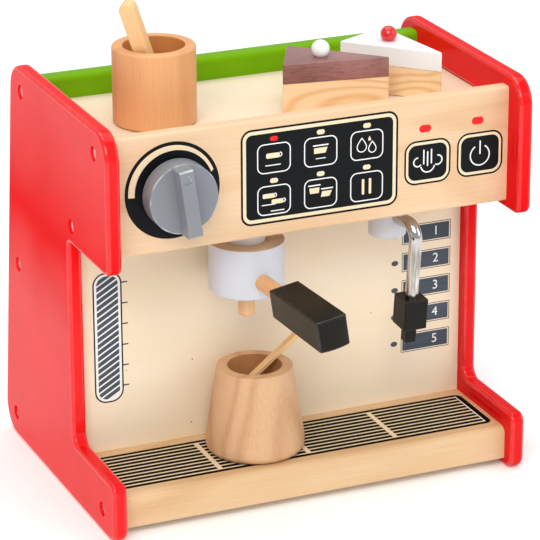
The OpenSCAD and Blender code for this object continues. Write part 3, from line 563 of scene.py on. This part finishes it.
# kept solids: only the finish is new
keptFinishes = {
    "front_panel": "pineLacquer", "head_board": "pineLacquer", "base_board": "pineBoard", "top_shelf": "shelfPly",
    "display_panel": "birchPly", "rear_panel": "greenPaint", "side_screws": "screwSteel", "group_plug": "whitePaint",
    "plug_screw": "zincSteel", "plug_magnet": "chromeTube", "knob_screw": "zincSteel", "knob_washer": "zincSteel",
    "filter_magnet": "chromeTube", "handle_dowel": "dowelWood", "steam_boss": "greyLacquer", "boss_screw": "zincSteel",
    "boss_washer": "zincSteel", "white_ball": "whitePaint", "red_ball": "redGloss",
}
for nodeName, finish in keptFinishes.items():
    nodes[nodeName].data.materials.clear()
    nodes[nodeName].data.materials.append(finishes[finish])
    for slot in nodes[nodeName].material_slots:
        slot.link = "OBJECT"
        slot.material = finishes[finish]
print("kept solids:", len(keptFinishes))

# side panels: profiled boards with well rounded edges; measures in mm, the screws as y and z
sidePanel = {"edge": 2.2, "steps": 5, "sharp": 40, "flat": 0.2, "screwClear": 6.0, "grooveY": (10.2, 16.6),
             "grooveZ": (20.0, 180.0), "front": -64.145, "footDepth": 197, "headDepth": 164, "height": 251,
             "rearInset": 14, "rearBoard": 12, "rearScrews": (15.5, 120.48, 236.0),
             "screws": [(-44.645, 236.0), (-3.145, 178.5), (-44.645, 15.35)]}
lean = math.atan((sidePanel["footDepth"] - sidePanel["headDepth"]) / sidePanel["height"])
for z in sidePanel["rearScrews"]:
    back = sidePanel["front"] + sidePanel["footDepth"] - z * math.tan(lean)
    sidePanel["screws"].append((back - sidePanel["rearInset"] - sidePanel["rearBoard"] / math.cos(lean) / 2, z))


def isPanelOutline(edge):        # runs along a face, away from the groove and the screw holes
    if edge.calc_face_angle(0.0) < math.radians(sidePanel["sharp"]):
        return False
    if abs(edge.verts[0].co.x - edge.verts[1].co.x) > sidePanel["flat"] * mm:
        return False
    middle = (edge.verts[0].co + edge.verts[1].co) / 2 / mm
    lowY, highY = sidePanel["grooveY"]
    lowZ, highZ = sidePanel["grooveZ"]
    if lowY < middle.y < highY and lowZ < middle.z < highZ:
        return False
    return all(math.hypot(middle.y - y, middle.z - z) > sidePanel["screwClear"] for y, z in sidePanel["screws"])


# the right side panel takes the darker copy of the red, painted shade
for side, finish in (("left", "redPaint"), ("right", "redPaintedShade")):
    panel = copyOfNode(side + "_side_panel", side + "_side_board")
    roundEdges(panel, isPanelOutline, sidePanel["edge"], sidePanel["steps"], clamp=False)
    finishPiece(panel, "housing", finish, [side + "_side_panel"])
print("side panels")

# small pieces whose edges are only broken: node, body, finish, slot, width in mm, steps, angle that makes an edge
brokenEdges = {
    "knob_body": ("knob", "selector", "greyPlastic", "grey_plastic", 0.6, 3, 38),
    "filter_cup_body": ("filter_cup", "portafilter", "cupLacquer", "grey_paint", 0.5, 3, 38),
    "spout_dowel": ("spout", "portafilter", "spoutWood", "beech", 0.7, 3, 38),
    "grip_block": ("handle_grip", "portafilter", "blackLacquer", "black_paint", 1.2, 4, 25),
    "nozzle_body": ("nozzle_block", "steam_wand", "blackLacquer", "black_paint", 0.9, 3, 38),
    "nozzle_end": ("nozzle_tip", "steam_wand", "blackLacquer", "black_paint", 0.6, 3, 38),
    "tray_cup_body": ("tray_cup", "tray_cup", "mapleCup", "beech", 0.7, 3, 38),
    "tray_stick": ("tray_stirrer", "tray_stirrer", "stickWood", "pine", 0.6, 3, 38),
    "shelf_cup_body": ("shelf_cup", "shelf_cup", "beechCup", "beech", 0.7, 3, 38),
    "shelf_stick": ("shelf_stirrer", "shelf_stirrer", "stickWood", "pine", 0.8, 3, 38),
    "brown_slice_wood": ("brown_sponge", "brown_slice", "slicePine", "pine", 0.5, 2, 38),
    "brown_slice_top": ("brown_icing", "brown_slice", "brownPaint", "brown_paint", 0.6, 2, 38),
    "white_slice_wood": ("white_sponge", "white_slice", "slicePine", "pine", 0.5, 2, 38),
    "white_slice_top": ("white_icing", "white_slice", "whitePaint", "white_paint", 0.6, 2, 38),
}
knobHighlightFillets = (0.25, 0.93)       # how far a face of the knob's rounded edges looks to the front, to be given the painted highlight
for pieceName, (nodeName, body, finish, slotName, width, steps, angle) in brokenEdges.items():
    piece = copyOfNode(nodeName, pieceName)
    roundEdges(piece, sharperThan(angle), width, steps, clamp=nodeName != "handle_grip")
    if nodeName == "knob":
        markHighlightFillets(piece, *knobHighlightFillets)
    finishPiece(piece, body, finish, [nodeName])
print("edged pieces:", len(brokenEdges))

# steam tube: a ring of points drawn out, spun round the bend and drawn down the leg
tube = {"radius": 4.0, "start": 2.0, "height": 163.3, "bend": 9.0, "bendSteps": 24, "reach": 30.4, "lean": 5.5,
        "drop": 46.0, "socket": 9.5, "axis": (62.5, -16.645), "turn": 10.0, "points": 48, "merge": 1e-6}


def drawOut(x, z):
    bpy.ops.mesh.extrude_region_move(TRANSFORM_OT_translate={"value": (x * mm, 0, z * mm)})


def makeSteamTube():
    lean = math.radians(tube["lean"])
    bendX = tube["reach"] - tube["bend"] * math.tan((math.pi / 2 + lean) / 2)
    clearSelection()
    start = (tube["start"] * mm, 0, tube["height"] * mm)
    bpy.ops.mesh.primitive_circle_add(vertices=tube["points"], radius=tube["radius"] * mm, fill_type="NOTHING",
                                      location=start, rotation=(0, math.pi / 2, 0))
    piece = bpy.context.object
    applyPlace()
    startEdit(piece)
    selectAll()
    drawOut(bendX - tube["start"], 0)
    bpy.ops.mesh.spin(steps=tube["bendSteps"], angle=math.pi / 2 + lean, axis=(0, -1, 0),
                      center=(bendX * mm, 0, (tube["height"] - tube["bend"]) * mm))
    legZ = tube["height"] - tube["bend"] * (1 + math.sin(lean))
    length = (legZ - (tube["height"] - tube["drop"])) / math.cos(lean) + tube["socket"]
    drawOut(-length * math.sin(lean), -length * math.cos(lean))
    selectAll()
    bpy.ops.mesh.remove_doubles(threshold=tube["merge"])
    bpy.ops.mesh.select_all(action="DESELECT")
    bpy.ops.mesh.select_non_manifold()
    bpy.ops.mesh.edge_face_add()
    selectAll()
    bpy.ops.mesh.normals_make_consistent(inside=False)
    endEdit()
    piece.rotation_euler = (0, 0, math.radians(tube["turn"] - 90))
    piece.location = (tube["axis"][0] * mm, tube["axis"][1] * mm, 0)
    makeActive(piece)
    applyPlace()
    piece.name = "steam_pipe"
    return piece


finishPiece(makeSteamTube(), "steam_wand", "chromeTube", ["steam_tube"])
print("steam tube")

# printed marks: each shape is a thin flat film, drawn in the plane of its print and joined with the others;
# a shape lies on the first, second or third layer, in mm above the face
film = {"first": 0.05, "second": 0.09, "third": 0.12, "thickness": 0.05, "cornerSteps": 7, "dropWidth": 0.62}


def stretch(size):
    selectAll()
    bpy.ops.transform.resize(value=(size[0] * mm, size[1] * mm, 1), center_override=(0, 0, 0))


def startCircle(points, radius, fill, kind="VERT"):
    clearSelection()
    bpy.ops.mesh.primitive_circle_add(vertices=points, radius=radius, fill_type=fill, location=(0, 0, 0))
    piece = bpy.context.object
    startEdit(piece, kind)
    return piece


def hollowOut(line):     # leaves a line along the outline
    bpy.ops.mesh.select_mode(type="FACE")
    selectAll()
    bpy.ops.mesh.inset(thickness=line * mm, use_even_offset=True)
    bpy.ops.mesh.delete(type="FACE")


def placed(piece, finish, at, lift, turn=0.0):
    piece.location = (at[0] * mm, at[1] * mm, film[lift] * mm)
    piece.rotation_euler = (0, 0, math.radians(turn))
    piece.data.materials.append(finishes[finish])
    return piece


def plate(finish, at, size, radius=0.0, lift="first", line=0.0):
    clearSelection()
    bpy.ops.mesh.primitive_plane_add(size=1, location=(0, 0, 0))
    piece = bpy.context.object
    startEdit(piece, "VERT")
    stretch(size)
    if radius:
        bpy.ops.mesh.bevel(offset=radius * mm, offset_type="OFFSET", segments=film["cornerSteps"], affect="VERTICES",
                           clamp_overlap=True)
    if line:
        hollowOut(line)
    endEdit()
    return placed(piece, finish, at, lift)


def disc(finish, at, size, lift="first", line=0.0, peak=0.0, points=48):
    piece = startCircle(points, 0.5, "NGON")
    stretch(size)
    if peak:         # draws the top out to the point of a drop
        bpy.ops.mesh.select_all(action="DESELECT")
        mesh = bmesh.from_edit_mesh(piece.data)
        max(mesh.verts, key=lambda v: v.co.y).select_set(True)
        bmesh.update_edit_mesh(piece.data)
        bpy.ops.transform.translate(value=(0, peak * mm, 0), use_proportional_edit=True,
                                    proportional_edit_falloff="SHARP",
                                    proportional_size=size[0] * film["dropWidth"] * mm)
    if line:
        hollowOut(line)
    endEdit()
    return placed(piece, finish, at, lift)


def arcBand(finish, at, radius, line, start, end, lift, innerShift=(0, 0), innerRadius=None, points=96):
    def isBeyond(v):
        angle = math.degrees(math.atan2(v.co.y, v.co.x)) % 360
        return (angle - start) % 360 > (end - start) % 360 + 1e-3

    piece = startCircle(points, radius * mm, "NOTHING")
    selectWhere(piece, "verts", isBeyond)
    bpy.ops.mesh.delete(type="VERT")
    selectAll()
    shift = (innerShift[0] * mm, innerShift[1] * mm, 0)
    bpy.ops.mesh.extrude_region_move(TRANSFORM_OT_translate={"value": shift})
    shrink = (innerRadius if innerRadius else radius - line) / radius
    bpy.ops.transform.resize(value=(shrink, shrink, 1), center_override=shift)
    selectAll()
    bpy.ops.mesh.normals_make_consistent(inside=False)
    endEdit()
    if piece.data.polygons[0].normal.z < 0:
        piece.data.flip_normals()
    return placed(piece, finish, at, lift)


def cutStripes(piece, stripes):      # slices a plate and takes every other slice away, and slivers at the ends
    pitch, dark, offset = stripes["pitch"], stripes["dark"], stripes["offset"]
    turn = math.radians(stripes["turn"])
    normal = Vector((-math.sin(turn), math.cos(turn), 0)).normalized()
    count = int(stripes["reach"] / pitch) + 1
    startEdit(piece, "FACE")
    for i in range(-count, count + 1):
        for cut in (i * pitch + offset, i * pitch + offset + dark):
            selectAll()
            bpy.ops.mesh.bisect(plane_co=normal * cut * mm, plane_no=normal)
    selectWhere(piece, "faces", lambda face: face.calc_area() < stripes["sliver"] * mm * mm or
                (face.calc_center_median().dot(normal) / mm - offset) % pitch > dark)
    bpy.ops.mesh.delete(type="FACE")
    endEdit()


def numeral(finish, text, at, height):
    clearSelection()
    bpy.ops.object.text_add(location=(0, 0, 0))
    piece = bpy.context.object
    piece.data.body = text
    piece.data.size = height * mm
    piece.data.align_x = "CENTER"
    piece.data.align_y = "CENTER"
    bpy.ops.object.convert(target="MESH")
    return placed(bpy.context.object, finish, at, "second")


def layPrint(name, shapes, upright, plane, body="housing"):
    clearSelection()
    for shape in shapes:
        shape.select_set(True)
    piece = shapes[0]
    bpy.context.view_layer.objects.active = piece
    if len(shapes) > 1:
        bpy.ops.object.join()
    piece.name = name
    applyPlace()
    solid = piece.modifiers.new("film", "SOLIDIFY")
    solid.thickness = film["thickness"] * mm
    solid.offset = -1
    bpy.ops.object.modifier_apply(modifier=solid.name)
    if upright:
        piece.rotation_euler = (math.pi / 2, 0, 0)
        piece.location = (0, plane * mm, 0)
    else:
        piece.location = (0, 0, plane * mm)
    applyPlace()
    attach(piece, body)


def framedField(at, look):       # a pale ground, a dark line round it and a dark field inside
    return [
        plate("inkCream", at, look["outer"], look["outerRadius"]),
        plate("inkBlack", at, look["outer"], look["outerRadius"], "second", look["line"]),
        plate("inkBlack", at, look["inner"], look["innerRadius"], "second"),
    ]


panelPlane, displayPlane, trayPlane = -49.145, 10.855, 25.7      # the faces that carry the prints

# dial ring behind the knob
dial = {"centre": (-89.2, 209.2), "radius": 29.2, "bandOuter": 27.0, "bandInner": 24.3, "bandShift": (1.2, -0.4),
        "bandStart": 20, "bandEnd": 184, "points": 96, "bandPoints": 144}
dialShapes = [
    disc("inkBlack", dial["centre"], (2 * dial["radius"], 2 * dial["radius"]), points=dial["points"]),
    arcBand("barePanel", dial["centre"], dial["bandOuter"], 0, dial["bandStart"], dial["bandEnd"], "second",
            dial["bandShift"], dial["bandInner"], dial["bandPoints"]),
]
layPrint("dial_print", dialShapes, True, panelPlane)

# button field: six outlined buttons, each under its lamp
field = {"centre": (3.3, 209.5), "outer": (100.2, 58.6), "outerRadius": 6.6, "line": 1.25, "inner": (93.6, 51.8),
         "innerRadius": 3.6}
buttons = {"columns": (-26.0, 3.6, 33.2), "rows": (220.0, 194.4), "size": (21.2, 18.1), "radius": 4.2, "line": 0.68,
           "lampRise": 11.9, "lamp": (5.0, 2.9), "lampRadius": 1.44}
panelShapes = framedField(field["centre"], field)
for row, z in enumerate(buttons["rows"]):
    for column, x in enumerate(buttons["columns"]):
        lampFinish = "inkRed" if row == column == 0 else "barePanel"
        panelShapes += [
            plate("inkPale", (x, z), buttons["size"], buttons["radius"], "third", buttons["line"]),
            plate(lampFinish, (x, z + buttons["lampRise"]), buttons["lamp"], buttons["lampRadius"], "third"),
        ]

# signs on the buttons; a cup's handle and corners go by its height
cupSign = {"corner": 0.3, "handleRise": 0.08, "handleRadius": 0.5, "handleLine": 0.55, "handleEnd": 95,
           "handlePoints": 36, "saucerMore": 1.2, "saucerLine": 0.6, "saucerRadius": 0.25}
tumblerSign = {"taper": 0.84, "lidRise": 1.5, "lidMore": 1.4, "lidLine": 0.8, "lidRadius": 0.35}
steamSign = {"lines": ((-2.5, 3.0), (0.0, 1.7), (2.5, 3.0)), "line": (0.85, 9.2), "lineRadius": 0.4, "curlLine": 0.8,
             "curls": ((-6.4, 0.2, 3.1, 80, 324), (0.1, -2.1, 4.9, 186, 354), (6.6, 0.2, 3.3, -122, 97)),
             "points": 72}


def cupMark(at, width, height, drop):        # a cup from the side, its handle and its saucer
    sign = cupSign
    handleAt = (at[0] + width / 2, at[1] + height * sign["handleRise"])
    return [
        plate("barePanel", at, (width, height), height * sign["corner"], "third"),
        arcBand("inkPale", handleAt, height * sign["handleRadius"], sign["handleLine"], -sign["handleEnd"],
                sign["handleEnd"], "third", points=sign["handlePoints"]),
        plate("inkPale", (at[0], at[1] - drop), (width + sign["saucerMore"], sign["saucerLine"]), sign["saucerRadius"],
              "third"),
    ]


def tumblerMark(at, width, height):      # a tumbler with its lid line
    sign = tumblerSign
    shape = plate("barePanel", at, (width, height), 0, "third")
    startEdit(shape, "VERT")
    selectWhere(shape, "verts", lambda v: v.co.y < 0)
    bpy.ops.transform.resize(value=(sign["taper"], 1, 1), center_override=(0, 0, 0))
    endEdit()
    lidAt = (at[0], at[1] + height / 2 + sign["lidRise"])
    return [shape, plate("inkPale", lidAt, (width + sign["lidMore"], sign["lidLine"]), sign["lidRadius"], "third")]


def steamMark(at):       # three rising lines over a curl
    sign = steamSign
    shapes = [plate("inkPale", (at[0] + dx, at[1] + dz), sign["line"], sign["lineRadius"], "third")
              for dx, dz in sign["lines"]]
    for dx, dz, radius, start, end in sign["curls"]:
        shapes.append(arcBand("inkPale", (at[0] + dx, at[1] + dz), radius, sign["curlLine"], start, end, "third",
                              points=sign["points"]))
    return shapes


# where the signs stand: centre, width, height and the saucer's drop; a drop has centre, width and peak
signs = {"cup": ((-26.6, 221.6), 8.6, 3.1, 5.8), "tumbler": ((3.6, 220.6), 8.6, 3.4), "dashAt": (3.6, 215.8),
         "dash": (6.4, 0.5), "dashRadius": 0.2, "drops": (((29.9, 219.0), 6.6, 2.6), ((36.7, 217.4), 5.4, 2.2)),
         "dropLine": 0.6, "smallDrop": ((34.9, 223.2), 1.8, 1.2),
         "cups": (((-29.4, 197.2), 7.6, 2.8, 5.4), ((-23.8, 193.3), 7.6, 2.8, 5.6)),
         "tumblers": (((-0.4, 196.3), 6.6, 3.4), ((7.7, 193.6), 6.4, 3.4)), "barsAt": ((30.9, 194.3), (35.4, 194.3)),
         "bar": (1.6, 9.6), "barRadius": 0.5}
panelShapes += cupMark(*signs["cup"]) + tumblerMark(*signs["tumbler"])
panelShapes.append(plate("inkPale", signs["dashAt"], signs["dash"], signs["dashRadius"], "third"))
for at, width, peak in signs["drops"]:
    panelShapes.append(disc("inkPale", at, (width, width), "third", signs["dropLine"], peak))
at, width, peak = signs["smallDrop"]
panelShapes.append(disc("barePanel", at, (width, width), "third", 0, peak))
for sign in signs["cups"]:
    panelShapes += cupMark(*sign)
for sign in signs["tumblers"]:
    panelShapes += tumblerMark(*sign)
for at in signs["barsAt"]:
    panelShapes.append(plate("barePanel", at, signs["bar"], signs["barRadius"], "third"))
layPrint("button_field_print", panelShapes, True, panelPlane)

# steam and power buttons, each under its red lamp
rightButtons = {"centres": ((72.9, 204.1), (107.5, 204.5)), "outer": (30.4, 27.4), "outerRadius": 7.3, "line": 1.1,
                "inner": (25.2, 21.8), "innerRadius": 4.9, "lampShift": (-1.8, 20.8), "lamp": (7.9, 4.7),
                "lampRadius": 2.34, "steamAt": (72.9, 204.3), "ringAt": (107.5, 203.6), "ringRadius": 6.7,
                "ringLine": 0.8, "ringStart": 118, "ringEnd": 422, "strokeAt": (107.6, 208.4), "stroke": (0.85, 8.6),
                "strokeRadius": 0.4}
rightShapes = []
for x, z in rightButtons["centres"]:
    dx, dz = rightButtons["lampShift"]
    rightShapes += framedField((x, z), rightButtons)
    rightShapes.append(plate("inkRed", (x + dx, z + dz), rightButtons["lamp"], rightButtons["lampRadius"]))
rightShapes += steamMark(rightButtons["steamAt"])
rightShapes += [
    arcBand("inkPale", rightButtons["ringAt"], rightButtons["ringRadius"], rightButtons["ringLine"],
            rightButtons["ringStart"], rightButtons["ringEnd"], "third"),
    plate("inkPale", rightButtons["strokeAt"], rightButtons["stroke"], rightButtons["strokeRadius"], "third"),
]
layPrint("right_buttons_print", rightShapes, True, panelPlane)

# level gauge: slanted stripes in a rounded outline, with ticks to its right
gauge = {"centre": (-108.5, 99.0), "outline": (18.5, 83.8), "outlineRadius": 7.7, "line": 0.9, "fill": (13.6, 79.2),
         "fillRadius": 5.6, "turn": 30, "pitch": 3.51, "dark": 2.5, "offset": 1.35, "reach": 44, "sliver": 7,
         "ticks": (133.4, 120.1, 106.8, 93.4, 80.1, 66.9), "tickX": -97.5, "tick": (3.6, 0.9)}
gaugeFill = plate("inkSlate", (0, 0), gauge["fill"], gauge["fillRadius"])
cutStripes(gaugeFill, gauge)
gaugeFill.location = (gauge["centre"][0] * mm, gauge["centre"][1] * mm, film["second"] * mm)
gaugeShapes = [
    plate("inkPale", gauge["centre"], gauge["outline"], gauge["outlineRadius"]),
    plate("inkBlack", gauge["centre"], gauge["outline"], gauge["outlineRadius"], "second", gauge["line"]),
    gaugeFill,
]
gaugeShapes += [plate("inkSlate", (gauge["tickX"], z), gauge["tick"]) for z in gauge["ticks"]]
layPrint("gauge_print", gaugeShapes, True, displayPlane)

# numbered labels, each with a dot to its left
labels = {"count": 5, "centreX": 102.8, "size": (33.4, 12.6), "radius": 0.4, "line": 0.45, "inner": (31.2, 10.4),
          "innerRadius": 0.3, "first": 135.3, "pitch": 18.0, "dotX": 81.3, "dotRise": 0.3, "dot": (4.6, 3.4),
          "numeralX": 109.3, "numeral": 8.5}
labelShapes = []
for i in range(labels["count"]):
    z = labels["first"] - i * labels["pitch"]
    labelShapes += [
        plate("inkSlate", (labels["centreX"], z), labels["size"], labels["radius"], line=labels["line"]),
        plate("inkSlate", (labels["centreX"], z), labels["inner"], labels["innerRadius"]),
        disc("inkSlate", (labels["dotX"], z + labels["dotRise"]), labels["dot"]),
        numeral("inkPale", str(i + 1), (labels["numeralX"], z), labels["numeral"]),
    ]
layPrint("label_print", labelShapes, True, displayPlane)

# striped tray: nine dark stripes in a pale frame, whose left end runs up to the side panel
tray = {"centre": (-3.675, -21.4), "size": (253.35, 47.6), "radius": 4.6, "left": -125.8, "frameLeft": -123.1,
        "frameRight": 119.1, "stripes": 9, "pitch": 4.5, "line": 1.42, "frameLine": 0.7, "bars": (-58.0, 0.0, 58.0),
        "bar": 3.1}
trayX, trayY = tray["centre"]
trayPlate = plate("inkTray", (0, 0), tray["size"], tray["radius"])
startEdit(trayPlate, "FACE")
selectAll()
bpy.ops.mesh.bisect(plane_co=((tray["left"] - trayX) * mm, 0, 0), plane_no=(1, 0, 0), clear_inner=True)
endEdit()
trayPlate.location = (trayX * mm, trayY * mm, film["first"] * mm)
trayShapes = [trayPlate]
stripesHeight = tray["stripes"] * tray["pitch"]
for x in (tray["frameLeft"], tray["frameRight"]):
    trayShapes.append(plate("inkPale", (x, trayY), (tray["frameLine"], stripesHeight + tray["line"]), 0, "third"))
frameMiddle, frameWidth = (tray["frameLeft"] + tray["frameRight"]) / 2, tray["frameRight"] - tray["frameLeft"]
for i in range(tray["stripes"] + 1):
    y = trayY + (i - tray["stripes"] / 2) * tray["pitch"]
    trayShapes.append(plate("inkCream", (frameMiddle, y), (frameWidth, tray["line"]), 0, "second"))
for x in tray["bars"]:
    trayShapes.append(plate("barePanel", (x, trayY), (tray["bar"], stripesHeight), 0, "third"))
layPrint("tray_print", trayShapes, False, trayPlane)

# pointer on the grip bar of the knob
pointer = {"at": (-88.9, 223.6), "size": 4.6, "line": 0.35, "plane": -74.145, "turn": 8.0}


def makePointer():
    piece = startCircle(3, pointer["size"] / 2 * mm, "NGON", "FACE")
    hollowOut(pointer["line"])
    endEdit()
    return placed(piece, "mouldLine", pointer["at"], "first", pointer["turn"])


layPrint("knob_pointer", [makePointer()], True, pointer["plane"], "selector")
print("prints")

# the camera that was fitted to the photo; metres and degrees
view = {"place": (-0.68235, -1.568445, 0.78077), "right": (0.9186, -0.3952, 0.0), "up": (0.1406, 0.3268, 0.9346),
        "roll": -0.21, "lens": 201.65, "sensor": 36, "near": 0.05, "far": 50}


def makeCamera():
    right, up = Vector(view["right"]).normalized(), Vector(view["up"])
    up = (up - right * up.dot(right)).normalized()
    roll = math.radians(view["roll"])
    across = right * math.cos(roll) + up * math.sin(roll)
    upward = up * math.cos(roll) - right * math.sin(roll)
    back = across.cross(upward)
    camera = bpy.data.objects.new("camera", bpy.data.cameras.new("camera"))
    camera.data.lens = view["lens"]
    camera.data.sensor_width = view["sensor"]
    turned = Matrix((across, upward, back)).transposed().to_4x4()
    camera.matrix_world = Matrix.Translation(Vector(view["place"])) @ turned
    camera.data.clip_start, camera.data.clip_end = view["near"], view["far"]
    bpy.context.scene.collection.objects.link(camera)
    bpy.context.scene.camera = camera


studio = {"floorSize": 12, "floorDrop": 0.0001, "floorBase": "#fcfcfc", "floorShade": "#fafafa",
          "floorRoughness": 0.7, "floorGlow": 0.08, "aim": (0, 0, 0.13), "ambient": 0.565}
lamps = {        # place, size, power and tint
    "keyLamp": ((-0.9, -1.5, 1.7), (1.5, 1.2), 34.0, "#fffaf2"),
    "fillLamp": ((1.7, -1.2, 1.0), (1.6, 1.4), 10.5, "#f4f8ff"),
    "topLamp": ((0.1, 0.4, 1.9), (1.8, 1.4), 16.0, "#ffffff"),
}


def makeFloor():
    clearSelection()
    bpy.ops.mesh.primitive_plane_add(size=studio["floorSize"], location=(0, 0, -studio["floorDrop"]))
    floor = bpy.context.object
    floor.name = "floor"
    tree, shader = startMaterial("floorPaper")
    paint = useGroup(tree, paintCoat, grainVector(tree, "x"), Base=colour(studio["floorBase"]),
                     Shade=colour(studio["floorShade"]), Roughness=studio["floorRoughness"])
    link(paint.outputs["Color"], shader.inputs["Base Color"])
    link(paint.outputs["Roughness"], shader.inputs["Roughness"])
    shader.inputs["Emission Color"].default_value = (1, 1, 1, 1)
    shader.inputs["Emission Strength"].default_value = studio["floorGlow"]
    floor.data.materials.append(finishes["floorPaper"])


def makeLights():
    for name, (place, size, power, tint) in lamps.items():
        lamp = bpy.data.objects.new(name, bpy.data.lights.new(name, "AREA"))
        lamp.data.shape = "RECTANGLE"
        lamp.data.size, lamp.data.size_y = size
        lamp.data.energy = power
        lamp.data.color = colour(tint)[:3]
        lamp.location = place
        lamp.rotation_euler = (Vector(studio["aim"]) - Vector(place)).to_track_quat("-Z", "Y").to_euler()
        bpy.context.scene.collection.objects.link(lamp)
    world = bpy.data.worlds.new("studio")
    world.use_nodes = True
    background = world.node_tree.nodes["Background"]
    background.inputs["Color"].default_value = (1, 1, 1, 1)
    background.inputs["Strength"].default_value = studio["ambient"]
    bpy.context.scene.world = world


makeCamera()
makeFloor()
makeLights()
bpy.context.scene.view_settings.view_transform = "Standard"
print("camera, floor and light")
